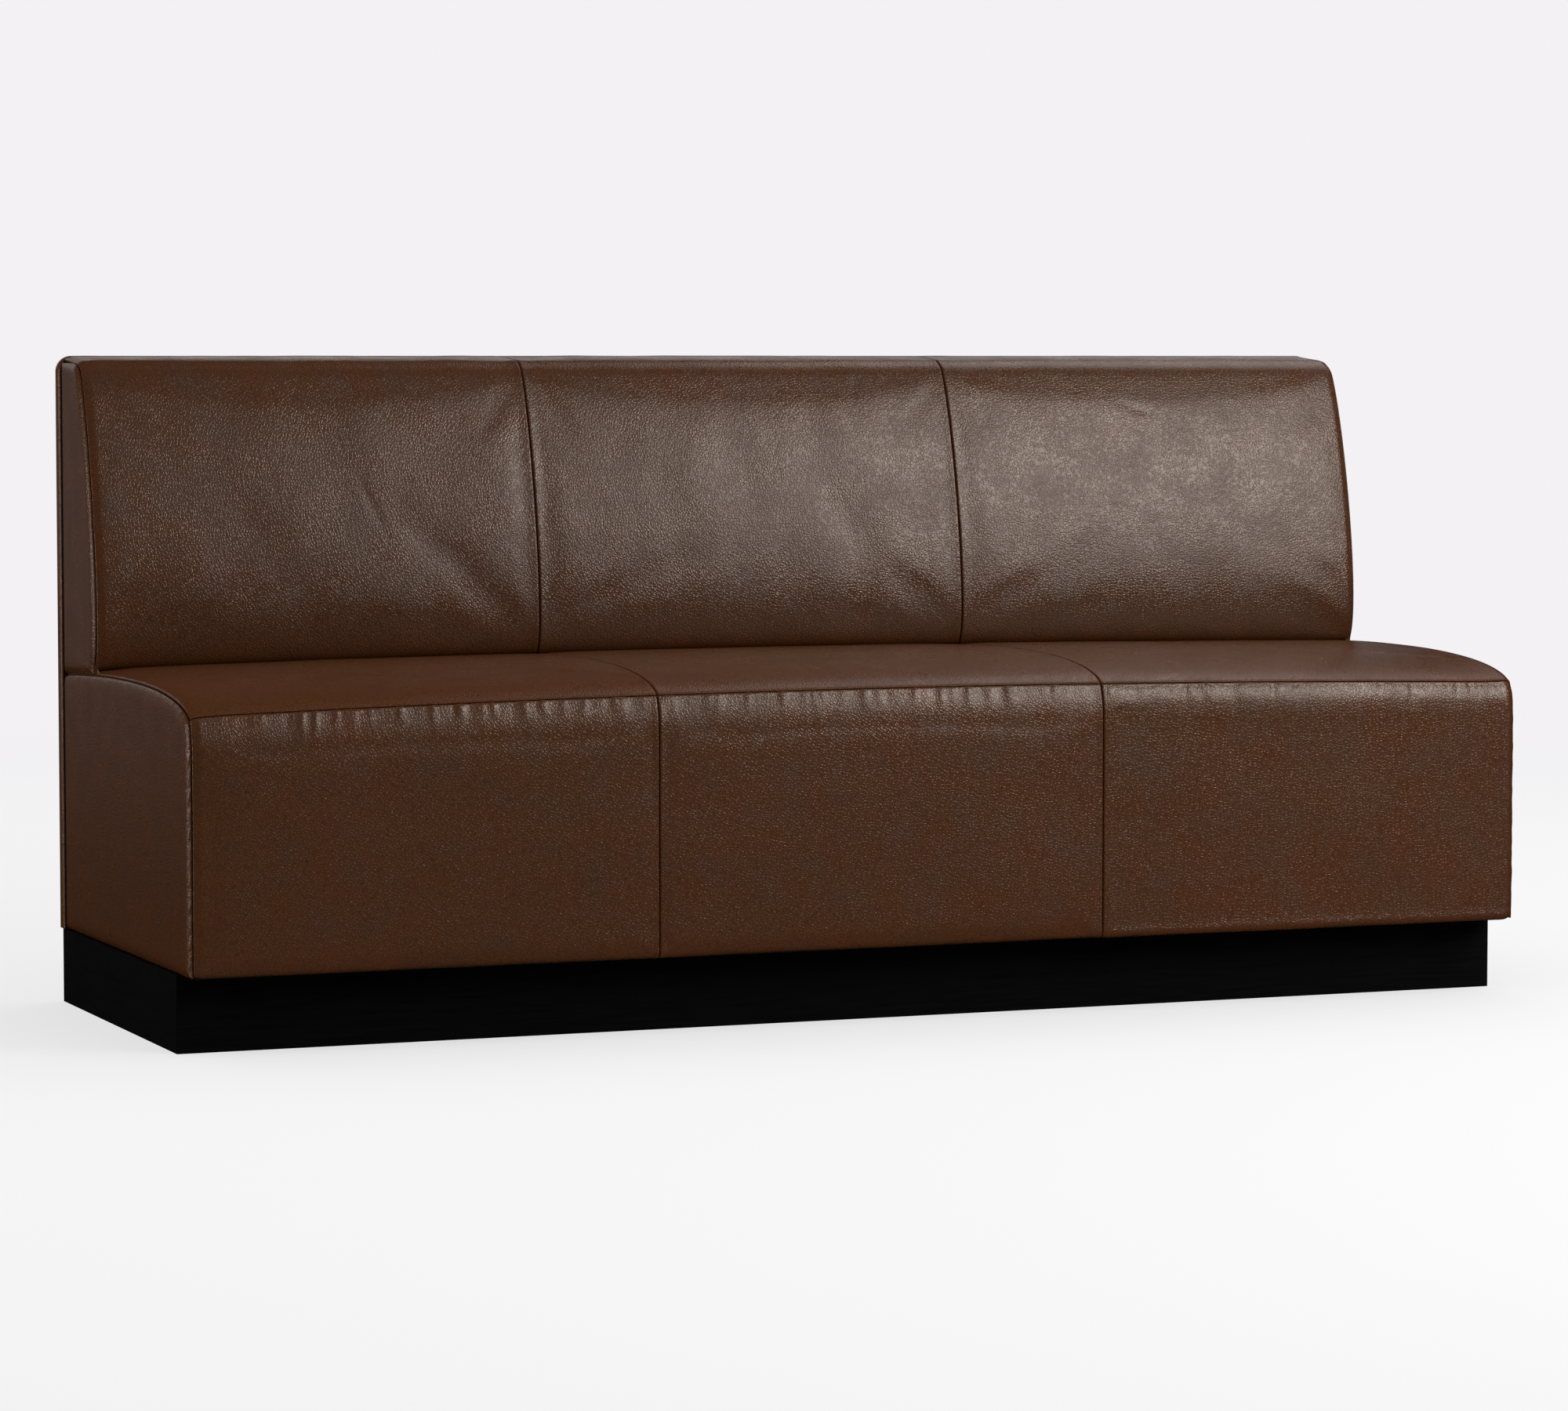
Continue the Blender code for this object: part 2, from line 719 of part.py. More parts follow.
def outside_back_leather():
    """The board's cover: a tray open to the front, in three panels that meet at the seams."""
    for name, left, right in bays:
        bm = bmesh.new()
        rings = []
        for step in range(FILLET_STEPS + 1):
            turn = math.pi / 2 * step / FILLET_STEPS
            moved = SLAB_EDGE * (1 - math.sin(turn))
            rings.append(slab_ring(bm, moved, DEPTH - SLAB_EDGE * (1 - math.cos(turn))))
        rings.append(slab_ring(bm, 0.0, slab_front))
        bridged(bm, rings)
        flat = capped(bm, rings[0])
        bmesh.ops.recalc_face_normals(bm, faces=bm.faces)
        if flat.normal.y < 0:
            bmesh.ops.reverse_faces(bm, faces=bm.faces)
        node = f"outside_back_leather_{name}"
        obj = piece(node, mesh_of(bm, node, smooth=True), brown_leather)
        leather_wall(obj)
        low = left + SEAM_GAP / 2 if abs(left) < half else -half - SLAB_EDGE
        high = right - SEAM_GAP / 2 if abs(right) < half else half + SLAB_EDGE
        stretch_of_cover = box_cutter(
            f"outside_back_stretch_{name}",
            (low, slab_front - SLAB_EDGE, PLINTH_HEIGHT - SLAB_EDGE),
            (high, DEPTH + SLAB_EDGE, HEIGHT + SLAB_EDGE),
        )
        cut(obj, stretch_of_cover, "INTERSECT")


def back_frame(rear_board):
    """Four ribs housed in the back board, with three rails let into their sloping fronts."""
    foot = Vector((slab_front - RIB_FOOT, rib_bottom))
    head = Vector((slab_front - RIB_HEAD, rib_top))
    up = (head - foot).normalized()
    rearward = Vector((up.y, -up.x))
    run = (head - foot).length
    rib_rear = slab_front + HOUSING
    outline = (foot, head, Vector((rib_rear, rib_top)), Vector((rib_rear, rib_bottom)))
    ribs = []
    places = (
        ("left_end", -side_core + PLY / 2),
        ("left_inner", -seam),
        ("right_inner", seam),
        ("right_end", side_core - PLY / 2),
    )
    for name, x in places:
        node = f"back_rib_{name}"
        ribs.append(piece(node, mesh_of(prism(outline, x - PLY / 2, x + PLY / 2), node), plywood))
        groove = box_cutter(
            f"rib_groove_{name}",
            (x - PLY / 2 - FIT, slab_front - HOUSING, rib_bottom - FIT),
            (x + PLY / 2 + FIT, rib_rear + FIT, rib_top + FIT),
        )
        cut(rear_board, groove)
    rails = (
        ("bottom", 0.0),
        ("middle", (run - BACK_RAIL_WIDTH) / 2),
        ("top", run - BACK_RAIL_WIDTH),
    )
    for name, start in rails:
        low = foot + up * start
        high = low + up * BACK_RAIL_WIDTH
        section = (low, high, high + rearward * BACK_RAIL, low + rearward * BACK_RAIL)
        node = f"back_{name}_rail"
        piece(node, mesh_of(prism(section, -side_core, side_core), node), hardwood)
        wide = inset([Vector(p) for p in section], -FIT)
        open_front = [wide[0] - rearward * HOUSING, wide[1] - rearward * HOUSING, wide[2], wide[3]]
        tool = prism(open_front, -side_core - HOUSING, side_core + HOUSING)
        notch = cutter(f"{node}_notch", mesh_of(tool, f"{node}_notch"))
        for rib in ribs:
            cut(rib, notch)


def back_stuffing():
    """Three foam blocks over the front and top of the back frame, rounder than their leather."""
    section = back_section(end_ease)
    last = distances(section)[-1] - seam_clear
    over = [p - n * skin for p, n in stationed(section, stretch(section, 0.0, last))]
    head = slab_front - RIB_HEAD - FIT
    foot = slab_front - RIB_FOOT - FIT
    behind = [
        Vector((over[-1].x, rib_top + FIT)),
        Vector((head, rib_top + FIT)),
        Vector((foot, rib_bottom)),
        Vector((foot, over[0].y)),
    ]
    for name, left, right in bays:
        stuffing(f"back_foam_{name}", over + behind, back_lift, left, right)


def back_leather(section):
    """A panel over the front and top in each bay, and the two ends."""
    end = (distances(section)[-1], True)
    for name, left, right in bays:
        sewn_panel(f"back_front_leather_{name}", section, back_lift, (0.0, False), end, left, right)
    face = back_front_corners() + [Vector((seat_rear, HEIGHT)), Vector((seat_rear, back_bottom))]
    face = fillet(face, BACK_STEPS, TOP_ROUND + CORNER_ROUND)
    for name, side in ends:
        end_panel(f"back_end_leather_{name}", face, back_lift, side)


def bolts(rear_rail, rear_board):
    """Bolts from inside the seat box, through its rear rail, into the back board."""
    head_start = rear_rail_face - FIT - BOLT_HEAD
    shank_end = slab_front + BOLT_GRIP
    profile = (
        (0, head_start),
        (BOLT_HEAD_RADIUS, head_start),
        (BOLT_HEAD_RADIUS, head_start + BOLT_HEAD),
        (BOLT_RADIUS, head_start + BOLT_HEAD),
        (BOLT_RADIUS, shank_end),
        (0, shank_end),
    )
    for number, x in enumerate((-BOLT_OUTER, -BOLT_INNER, BOLT_INNER, BOLT_OUTER), 1):
        bm = bmesh.new()
        line = [bm.verts.new((radius, d - DEPTH / 2, 0)) for radius, d in profile]
        edges = [bm.edges.new(pair) for pair in zip(line, line[1:])]
        bmesh.ops.spin(
            bm, geom=line + edges, axis=(0, 1, 0), cent=(0, 0, 0),
            angle=2 * math.pi, steps=BOLT_SIDES, use_merge=True,
        )
        bmesh.ops.remove_doubles(bm, verts=bm.verts, dist=FIT / 10)
        bmesh.ops.recalc_face_normals(bm, faces=bm.faces)
        name = f"seat_to_back_bolt_{number}"
        piece(name, mesh_of(bm, name, smooth=True), zinc_steel, (x, 0, BOLT_HEIGHT))
        hole = bmesh.new()
        bmesh.ops.create_cone(
            hole, cap_ends=True, segments=BOLT_SIDES * 2,
            radius1=BOLT_RADIUS + FIT, radius2=BOLT_RADIUS + FIT,
            depth=shank_end + FIT - rear_rail_face + HOUSING,
        )
        tool = cutter(f"bolt_hole_{number}", mesh_of(hole, f"bolt_hole_{number}"))
        middle = (shank_end + FIT + rear_rail_face - HOUSING) / 2
        tool.location = (x, middle - DEPTH / 2, BOLT_HEIGHT)
        tool.rotation_euler = (math.pi / 2, 0, 0)
        cut(rear_rail, tool)
        cut(rear_board, tool)


seat = seat_section()
back = back_section()
plinth()
dust_cover()
back_rail_of_seat = seat_frame()
springs()
seat_stuffing(seat)
seat_leather(seat)
upright = back_board()
outside_back_leather()
back_frame(upright)
back_stuffing()
back_leather(back)
bolts(back_rail_of_seat, upright)
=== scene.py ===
import math
import random

import bmesh
import bpy
import numpy as np
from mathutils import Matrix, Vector, noise
from mathutils.geometry import interpolate_bezier


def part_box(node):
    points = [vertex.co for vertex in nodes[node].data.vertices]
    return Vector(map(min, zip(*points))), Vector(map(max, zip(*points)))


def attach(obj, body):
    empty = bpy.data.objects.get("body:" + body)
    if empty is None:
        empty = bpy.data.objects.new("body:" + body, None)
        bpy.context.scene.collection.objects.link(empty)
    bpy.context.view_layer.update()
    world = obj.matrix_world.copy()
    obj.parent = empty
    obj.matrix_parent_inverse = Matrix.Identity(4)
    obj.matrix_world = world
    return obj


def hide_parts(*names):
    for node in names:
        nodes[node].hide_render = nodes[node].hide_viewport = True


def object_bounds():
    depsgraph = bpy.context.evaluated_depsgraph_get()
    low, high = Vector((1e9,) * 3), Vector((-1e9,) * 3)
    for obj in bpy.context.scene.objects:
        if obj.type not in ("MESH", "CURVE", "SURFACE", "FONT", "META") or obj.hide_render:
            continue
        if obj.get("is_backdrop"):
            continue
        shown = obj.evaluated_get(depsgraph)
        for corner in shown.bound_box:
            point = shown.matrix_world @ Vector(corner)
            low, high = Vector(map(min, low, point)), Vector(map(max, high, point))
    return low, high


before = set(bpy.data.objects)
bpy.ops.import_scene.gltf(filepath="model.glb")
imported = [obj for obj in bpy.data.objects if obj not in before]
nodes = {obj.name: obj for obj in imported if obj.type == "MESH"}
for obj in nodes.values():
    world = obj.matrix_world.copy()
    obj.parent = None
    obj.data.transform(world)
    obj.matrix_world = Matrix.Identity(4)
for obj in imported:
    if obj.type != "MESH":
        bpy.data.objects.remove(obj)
cadLow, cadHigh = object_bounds()
scene = bpy.context.scene
print("frame:", len(nodes), "nodes")

# where things are, read from the frame; sections are drawn in depth from the front face and in height
half = cadHigh.x
front = cadLow.y
top = cadHigh.z
seamX = (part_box("seat_front_leather_centre")[1].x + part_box("seat_front_leather_right")[0].x) / 2
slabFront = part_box("back_board")[0].y - front
slabRear = cadHigh.y - front
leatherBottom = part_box("seat_front_leather_centre")[0].z
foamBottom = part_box("seat_foam_centre")[0].z
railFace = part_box("seat_front_rail")[0].y - front
ribLow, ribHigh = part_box("back_rib_left_inner")
bays = (("left", -half, -seamX), ("centre", -seamX, seamX), ("right", seamX, half))
ends = (("left", -1), ("right", 1))
reach = {-1: half, 1: half + 0.0055}     # the stuffed right end stands a little proud of its board
fit = 0.0004    # play between a soft piece and what it touches
sameSpot = 0.00001      # points nearer to each other than this are one

seam = {
    "gap": 0.0010,      # between two panels at the bottom of their seam
    "roll": 0.0020,     # radius of the leather where it turns into a seam
    "rollAngles": (0, 25, 45, 65, 90),      # degrees of that turn at which it is drawn
    "beyond": 0.0036,   # first row past the turned edge
    "held": 0.004,      # leather nearer to a seam than this is held while it is filled out
    "tuck": 0.006,      # how far a turned edge runs inwards
    "padTuck": (0.5, 0.7),      # shares of it on the end pads: into the sofa, towards the pad's middle
    "corner": 0.018,    # radius of the corner at each end of the sofa
    "cornerSteps": (0.0055, 0.0078, 0.0108),    # rows on that corner, measured from its seam
    "padMesh": 0.006,   # spacing of the mesh on the end pads
}
seat = {
    "height": 0.4435,                   # of the top at both ends; the crown comes on top of it
    "crownFront": 0.0132, "crownRear": 0.0095, "liftFrom": 0.02,
    "endFall": (0.0018, -0.0022), "endRun": 0.06,       # left end, right end
    "rollHeight": 0.0475, "rollDepth": 0.089, "rollTilt": 42, "rollPull": 0.019,
    "crownAt": 0.289, "rearFall": 0.010, "rearRows": 12,
    "seamDepth": 0.009, "seamHeight": 0.4100, "leanHeight": 0.042, "leanTilt": 25,
    "underRound": 0.007,
}
back = {
    "foot": 0.148, "head": 0.0805,      # how far the cushion stands in front of its board, low and high
    "lumbarPush": 0.038, "lumbarRun": 0.050, "headPush": 0.041, "headRun": 0.047,
    "topFall": 0.0065, "topRound": 0.027, "footRound": 0.005, "tuck": 0.030,
    "crownFade": 0.060, "ribHead": 0.040,
    "press": 0.0015,                    # how far it presses into the seat
}
footDepth = slabFront - back["foot"]


circleHandle = 0.5523   # handle of the Bezier curve for a quarter circle of radius 1
arcMargin = 1.15        # points nearer to a corner than this many arc lengths are cut off


def flat(y, z):
    return Vector((y, z))


def rounded(points, index, radius, steps=6):
    # one corner of a polyline turned into an arc; points that the arc cuts off are left out
    corner = points[index]
    near = (points[index - 1] - corner).angle(points[index + 1] - corner) / 2
    lows = [p for p in points[:index] if (p - corner).length > radius / math.tan(near) * arcMargin]
    highs = [p for p in points[index + 1:] if (p - corner).length > radius / math.tan(near) * arcMargin]
    before, after = (lows[-1] - corner).normalized(), (highs[0] - corner).normalized()
    halfAngle = before.angle(after) / 2
    length = radius / math.tan(halfAngle)
    start, end = corner + before * length, corner + after * length
    handle = length * circleHandle * (math.pi - 2 * halfAngle) / (math.pi / 2)
    arc = interpolate_bezier(start, start - before * handle, end - after * handle, end, steps + 1)
    return lows + [p.to_2d() for p in arc] + highs


def walked(points):
    gone = [0.0]
    for a, b in zip(points, points[1:]):
        gone.append(gone[-1] + (b - a).length)
    return gone


def onSection(points, station):
    # point and outward normal at a distance along a section that runs up the front and back over the top
    gone = walked(points)
    after = next((i for i, g in enumerate(gone) if i and g >= station), len(points) - 1)
    share = (station - gone[after - 1]) / (gone[after] - gone[after - 1])
    point = points[after - 1].lerp(points[after], share)
    ahead = points[min(after + 1, len(points) - 1)] - points[after - 1]
    behind = points[after] - points[max(after - 2, 0)]
    along = behind.normalized().lerp(ahead.normalized(), share).normalized()
    return point, flat(-along.y, along.x)


def seatTop(depth):
    behind = max(0.0, depth - seat["crownAt"]) / (slabFront - seat["crownAt"])
    return seat["height"] - seat["rearFall"] * behind ** 2


def seatRise(x, depth):
    # the seat is crowned along its length, most at the front; the left end drops a little, the right lifts
    backwards = min(1, max(0, depth / footDepth))
    crown = seat["crownFront"] + (seat["crownRear"] - seat["crownFront"]) * backwards
    toEnd = min(1.0, (half - abs(x)) / seat["endRun"])
    return crown * (1 - (x / half) ** 2) - seat["endFall"][x > 0] * (1 - toEnd) ** 2


def backRise(x, depth):
    return seatRise(x, footDepth)


backBottom = seatTop(footDepth) - back["press"]


def seatLift(z):
    low = leatherBottom + seat["liftFrom"]
    return min(1, max(0, (z - low) / (seat["height"] - seat["rollHeight"] - low)))


def backLift(z):
    return min(1, max(0, 1 - (z - backBottom - back["footRound"]) / back["crownFade"]))


def seatProfile():
    # the front leans back over its last few centimetres, and the roll starts steeper above the seam
    high = seat["height"]
    sewn = flat(seat["seamDepth"], seat["seamHeight"])
    lean, roll = math.radians(seat["leanTilt"]), math.radians(seat["rollTilt"])
    low = sewn.y - seat["leanHeight"]
    below = interpolate_bezier(
        flat(0, low), flat(0, low + seat["leanHeight"] / 3),
        sewn - flat(math.sin(lean), math.cos(lean)) * seat["leanHeight"] / 3, sewn, 16)
    above = interpolate_bezier(
        sewn, sewn + flat(math.sin(roll), math.cos(roll)) * seat["rollPull"],
        flat(seat["rollDepth"], high), flat(seat["crownAt"], high), 40)
    points = [flat(railFace - fit, leatherBottom), flat(0, leatherBottom)]
    points += [p.to_2d() for p in below + above[1:]]
    for step in range(1, seat["rearRows"] + 1):
        depth = seat["crownAt"] + (slabFront - seam["gap"] - seat["crownAt"]) * step / seat["rearRows"]
        points.append(flat(depth, seatTop(depth)))
    return rounded(points, 1, seat["underRound"])


def backProfile():
    foot = flat(footDepth, backBottom)
    head = flat(slabFront - back["head"], top - back["topFall"])
    face = interpolate_bezier(
        foot, foot + flat(-back["lumbarPush"], back["lumbarRun"]),
        head - flat(back["headPush"], back["headRun"]), head, 40)
    points = [flat(footDepth + back["tuck"], backBottom)] + [p.to_2d() for p in face]
    points.append(flat(slabFront - seam["gap"], top))
    points = rounded(points, len(points) - 2, back["topRound"])
    return rounded(points, 1, back["footRound"], 4)


def edgeSteps():
    # distances from a seam at which its turned edge is drawn
    turned = [seam["roll"] * (1 - math.cos(math.radians(a))) for a in seam["rollAngles"]]
    return turned + [seam["beyond"]]


def sunk(*gone):
    # how deep the leather lies below its open surface at these distances from its seams
    short = min(math.hypot(*(max(0.0, seam["roll"] - g) for g in gone)), seam["roll"])
    return seam["roll"] - math.sqrt(seam["roll"] ** 2 - short ** 2)


def spread(low, high, step):
    count = max(1, round((high - low) / step))
    return [low + (high - low) * i / count for i in range(1, count)]


def sideColumns(edge, toward):
    # x, drop, turn and distance from the seam, from the seam inwards; a sofa's end turns round a corner
    if abs(edge) < half:
        return [(edge - toward * (seam["gap"] / 2 + g), 0.0, 0.0, g) for g in edgeSteps()]
    radius = seam["corner"]
    last = math.pi / 4 - seam["gap"] / 2 / radius
    gone = edgeSteps() + [*seam["cornerSteps"], last * radius]
    return [
        (toward * (reach[toward] - radius + radius * math.sin(last - g / radius)),
         radius * (1 - math.cos(last - g / radius)), toward * (last - g / radius), g)
        for g in gone
    ]


def columnsOf(left, right, step):
    lefts, rights = sideColumns(left, -1), sideColumns(right, 1)
    middle = [(x, 0.0, 0.0, 1.0) for x in spread(lefts[-1][0], rights[-1][0], step)]
    return lefts + middle + rights[::-1]


def finishedMesh(bm, name):
    bmesh.ops.recalc_face_normals(bm, faces=bm.faces)
    mesh = bpy.data.meshes.new(name)
    bm.to_mesh(mesh)
    bm.free()
    piece = bpy.data.objects.new(name, mesh)
    scene.collection.objects.link(piece)
    return piece


heldPoints = {}     # which points of a cushion are sewn or glued down


def sewnCushion(name, profile, start, end, inner, left, right, lift, rise, step):
    # a closed form swept along the sofa: leather outside, its edges turned into the seams, stuffing behind
    (low, lowSewn), (high, highSewn) = start, end
    low += seam["gap"] / 2 if lowSewn else 0
    high -= seam["gap"] / 2 if highSewn else 0
    stations = spread(low + edgeSteps()[-1], high - edgeSteps()[-1], step)
    stations = [low + g for g in edgeSteps()] + stations + [high - g for g in reversed(edgeSteps())]
    rows = []
    for s in stations:
        gone = min(s - low if lowSewn else 1.0, high - s if highSewn else 1.0)
        rows.append((*onSection(profile, s), gone))
    columns = columnsOf(left, right, step)
    lastColumn = len(columns) + 1

    bm = bmesh.new()
    ring = [bm.verts.new((0, i, 0)) for i in range(len(rows) + len(inner))]
    edges = [bm.edges.new(pair) for pair in zip(ring, ring[1:] + ring[:1])]
    bmesh.ops.spin(bm, geom=ring + edges, cent=(0, 0, 0), axis=(1, 0, 0), dvec=(1, 0, 0), angle=0,
                   steps=lastColumn)
    crease = bm.edges.layers.float.new("crease_edge")
    caps = {0: {}, lastColumn: {}}
    held = set()
    for vert in bm.verts:
        column, row = round(vert.co.x), round(vert.co.y)
        wall = column in caps
        x, drop, turn, side = columns[min(max(column - 1, 0), len(columns) - 1)]
        free = side > seam["held"]
        if wall:
            caps[column][row] = vert
        if row < len(rows):
            point, normal, gone = rows[row]
            free = free and gone > seam["held"] and len(rows) - 4 > row > 3
            dropped = drop + sunk(side, gone) * math.cos(turn)
            x -= sunk(side, gone) * math.sin(turn)
            if wall:  # the turned edge runs inwards, square to the leather
                dropped += seam["tuck"] * math.cos(turn)
                x -= seam["tuck"] * math.sin(turn)
            place = point - normal * dropped
        else:
            free = False
            place = inner[row - len(rows)]
            x -= seam["tuck"] * math.sin(turn) if wall else 0
        if not free or wall:
            held.add(vert)
        vert.co = (x, place.x + front, place.y + rise(x, place.x) * lift(place.y))
    for rim in caps.values():
        verts = [rim[row] for row in sorted(rim)]
        rimEdges = [bm.edges.get(pair) for pair in zip(verts, verts[1:] + verts[:1])]
        bmesh.ops.contextual_create(bm, geom=rimEdges)
        for edge in rimEdges:
            edge[crease] = 1.0
    bmesh.ops.remove_doubles(bm, verts=bm.verts, dist=sameSpot)
    bm.verts.index_update()
    heldPoints[name] = [v.index for v in bm.verts if v in held]
    return finishedMesh(bm, name)


def nearest(points, outline):
    # distance of each point from an open polyline
    best = np.full(len(points), 9.0)
    for a, b in zip(outline, outline[1:]):
        a, b = np.array(a), np.array(b)
        step = b - a
        share = np.clip(((points - a) @ step) / max(step @ step, 1e-12), 0, 1)
        best = np.minimum(best, np.linalg.norm(points - a - share[:, None] * step, axis=1))
    return best


rimSteps = [0.0, 0.0005, 0.0011, 0.0019, 0.0030, 0.0045, 0.0065, 0.0095]


def endPad(name, side, near, far, outline):
    # a pad on an end of the sofa: a grid between two curves, its rim turned into the corner seam
    radius = seam["corner"]
    across = max((a - b).length for a, b in zip(near, far))
    count = max(4, round((across - 2 * rimSteps[-1]) / seam["padMesh"]))
    bm = bmesh.new()
    columns, rows = len(near) - 1, count + 2 * (len(rimSteps) - 1)
    bmesh.ops.create_grid(bm, x_segments=columns, y_segments=rows, size=1)
    crease = bm.edges.layers.float.new("crease_edge")
    spots = []
    for vert in bm.verts:
        column = round((vert.co.x + 1) / 2 * columns)
        row = round((vert.co.y + 1) / 2 * rows)
        length = (far[column] - near[column]).length
        if row < len(rimSteps):
            gone = rimSteps[row]
        elif rows - row < len(rimSteps):
            gone = length - rimSteps[rows - row]
        else:
            gone = rimSteps[-1] + (length - 2 * rimSteps[-1]) * (row - len(rimSteps) + 1) / count
        spots.append(near[column].lerp(far[column], gone / length))
    inset = nearest(np.array(spots), outline)
    for vert, spot, q in zip(bm.verts, spots, inset):
        turn = math.asin(min(1, max(0, 1 - q / radius)))
        gone = (math.pi / 4 - turn) * radius
        x = reach[side] - radius * (1 - math.cos(turn)) - sunk(max(0, gone))
        vert.co = (side * x, spot.x + front, spot.y)
    border = [e for e in bm.edges if e.is_boundary]
    grown = bmesh.ops.extrude_edge_only(bm, edges=border)["geom"]
    middle = sum(spots, flat(0, 0)) / len(spots)
    for vert in (v for v in grown if isinstance(v, bmesh.types.BMVert)):
        inward = (middle - flat(vert.co.y - front, vert.co.z)).normalized()
        inward *= seam["tuck"] * seam["padTuck"][1]
        vert.co += Vector((-side * seam["tuck"] * seam["padTuck"][0], inward.x, inward.y))
    edges = [e for e in grown if isinstance(e, bmesh.types.BMEdge) and e.is_boundary]
    for edge in edges:
        edge[crease] = 1.0
    bmesh.ops.contextual_create(bm, geom=edges)
    return finishedMesh(bm, name)


def applied(piece, kind, **settings):
    # adds one modifier and makes its result the piece's own mesh
    modifier = piece.modifiers.new(kind.lower(), kind)
    for key, value in settings.items():
        setattr(modifier, key, value)
    graph = bpy.context.evaluated_depsgraph_get()
    mesh = bpy.data.meshes.new_from_object(piece.evaluated_get(graph))
    piece.modifiers.clear()
    old = piece.data
    piece.data = mesh
    bpy.data.meshes.remove(old)
    mesh.name = piece.name
    mesh.shade_smooth()


puff = {
    "pressure": 4.0, "uneven": (0.7, 1.2), "seed": 5,   # no two cushions are stuffed alike
    "frames": 20, "quality": 2, "mass": 0.4, "stretch": 80.0, "bend": 40.0,
    "start": 0.0010, "cap": 0.0013,
}


def inflated(pieces):
    # pressure from inside fills the leather out while its sewn and glued edges are held
    starts = {}
    rng = random.Random(puff["seed"])
    for piece in pieces:
        held = piece.vertex_groups.new(name="held")
        held.add(heldPoints[piece.name], 1.0, "REPLACE")
        fixed = set(heldPoints[piece.name])
        starts[piece.name] = [v.co.copy() for v in piece.data.vertices]
        inwards = [v.normal * -puff["start"] for v in piece.data.vertices]
        for vert in piece.data.vertices:
            if vert.index not in fixed:
                vert.co += inwards[vert.index]
        cloth = piece.modifiers.new("cloth", "CLOTH")
        cloth.settings.quality = puff["quality"]
        cloth.settings.mass = puff["mass"]
        cloth.settings.tension_stiffness = puff["stretch"]
        cloth.settings.compression_stiffness = puff["stretch"]
        cloth.settings.shear_stiffness = puff["stretch"] / 2
        cloth.settings.bending_stiffness = puff["bend"]
        cloth.settings.use_pressure = True
        cloth.settings.uniform_pressure_force = puff["pressure"] * rng.uniform(*puff["uneven"])
        cloth.settings.vertex_group_mass = "held"
        cloth.settings.effector_weights.gravity = 0
        cloth.collision_settings.use_collision = False
        cloth.point_cache.frame_start = 1
        cloth.point_cache.frame_end = puff["frames"]
    for number in range(1, puff["frames"] + 1):
        scene.frame_set(number)
    graph = bpy.context.evaluated_depsgraph_get()
    for piece in pieces:
        blown = [v.co.copy() for v in piece.evaluated_get(graph).data.vertices]
        moves = [b - a for a, b in zip(starts[piece.name], blown)]
        print("filled out:", piece.name, "by up to %.1f mm" % (1000 * max(m.length for m in moves)))
        for vert, start, move in zip(piece.data.vertices, starts[piece.name], moves):
            vert.co = start + move * puff["cap"] / (puff["cap"] + move.length)    # the foam holds it back
    for piece in pieces:
        piece.modifiers.clear()
        piece.vertex_groups.clear()
    scene.frame_set(1)


def refined(piece):
    applied(piece, "SUBSURF", levels=1, render_levels=1, use_limit_surface=False)


def relief(piece, rule):
    # moves every point along its normal by what the rule gives for its place
    count = len(piece.data.vertices)
    co = np.zeros(count * 3, np.float32)
    piece.data.vertices.foreach_get("co", co)
    co = co.reshape(-1, 3)
    normal = np.array([v.normal for v in piece.data.vertices], np.float32)
    moved = co + normal * rule(co, normal)[:, None]
    piece.data.vertices.foreach_set("co", moved.astype(np.float32).ravel())
    piece.data.update()


def clouds(co, size, seed, stretch=(1, 1, 1)):
    shift = Vector((seed * 3.7, seed * 1.3, seed * 2.9))
    scaled = co / (np.array(stretch, np.float32) * size)
    return np.array([noise.noise(Vector(p) + shift) for p in scaled], np.float32)


def linear(code):
    # sRGB hex to linear
    parts = [int(code[i:i + 2], 16) / 255 for i in (1, 3, 5)]
    return tuple(p / 12.92 if p <= 0.04045 else ((p + 0.055) / 1.055) ** 2.4 for p in parts) + (1.0,)


def addNode(tree, kind, inputs=None, stops=None, **settings):
    made = tree.nodes.new(kind)
    for key, value in settings.items():
        setattr(made, key, value)
    for key, value in (inputs or {}).items():
        if isinstance(value, bpy.types.NodeSocket):
            tree.links.new(value, made.inputs[key])
        else:
            made.inputs[key].default_value = value
    if stops:
        ramp = made.color_ramp
        while len(ramp.elements) < len(stops):
            ramp.elements.new(1.0)
        for element, (place, colour) in zip(ramp.elements, stops):
            element.position = place
            element.color = colour
    return made


def newMaterial(name):
    material = bpy.data.materials.new(name)
    material.use_nodes = True
    tree = material.node_tree
    return material, tree, tree.nodes["Principled BSDF"]


leather = {
    # valley: colour of the painted shade in the grain's hollows
    "dark": "#371E0B", "chestnut": "#4B2811", "red": "#4F2812", "olive": "#492911", "valley": "#1C0E06",
    "mottle": 0.16, "cloud": 0.045,     # width of the colour patches and of the rubbed clouds
    "grain": 0.0037, "pores": 0.0020,   # the real grain is 1 to 2 mm: drawn coarser so that it shows
    "grainDepth": 0.00017, "poreDepth": 0.0001, "wobble": 260.0, "wobbleShare": 0.0016,
    "roughness": 0.29, "wax": "#FFF6EC",
    # the seats' dark clouds are fainter, so the seats are paler: painted light for the light on their
    # upward-facing tops
    "specular": (0.5, 0.22, 0.5), "wearAndSeatLight": (0.5, 0.2, 0.5),      # fronts, seats, backs
    "cut": (0.37, -0.53, 0.81),     # each hide is cut this much further on in the pattern
}


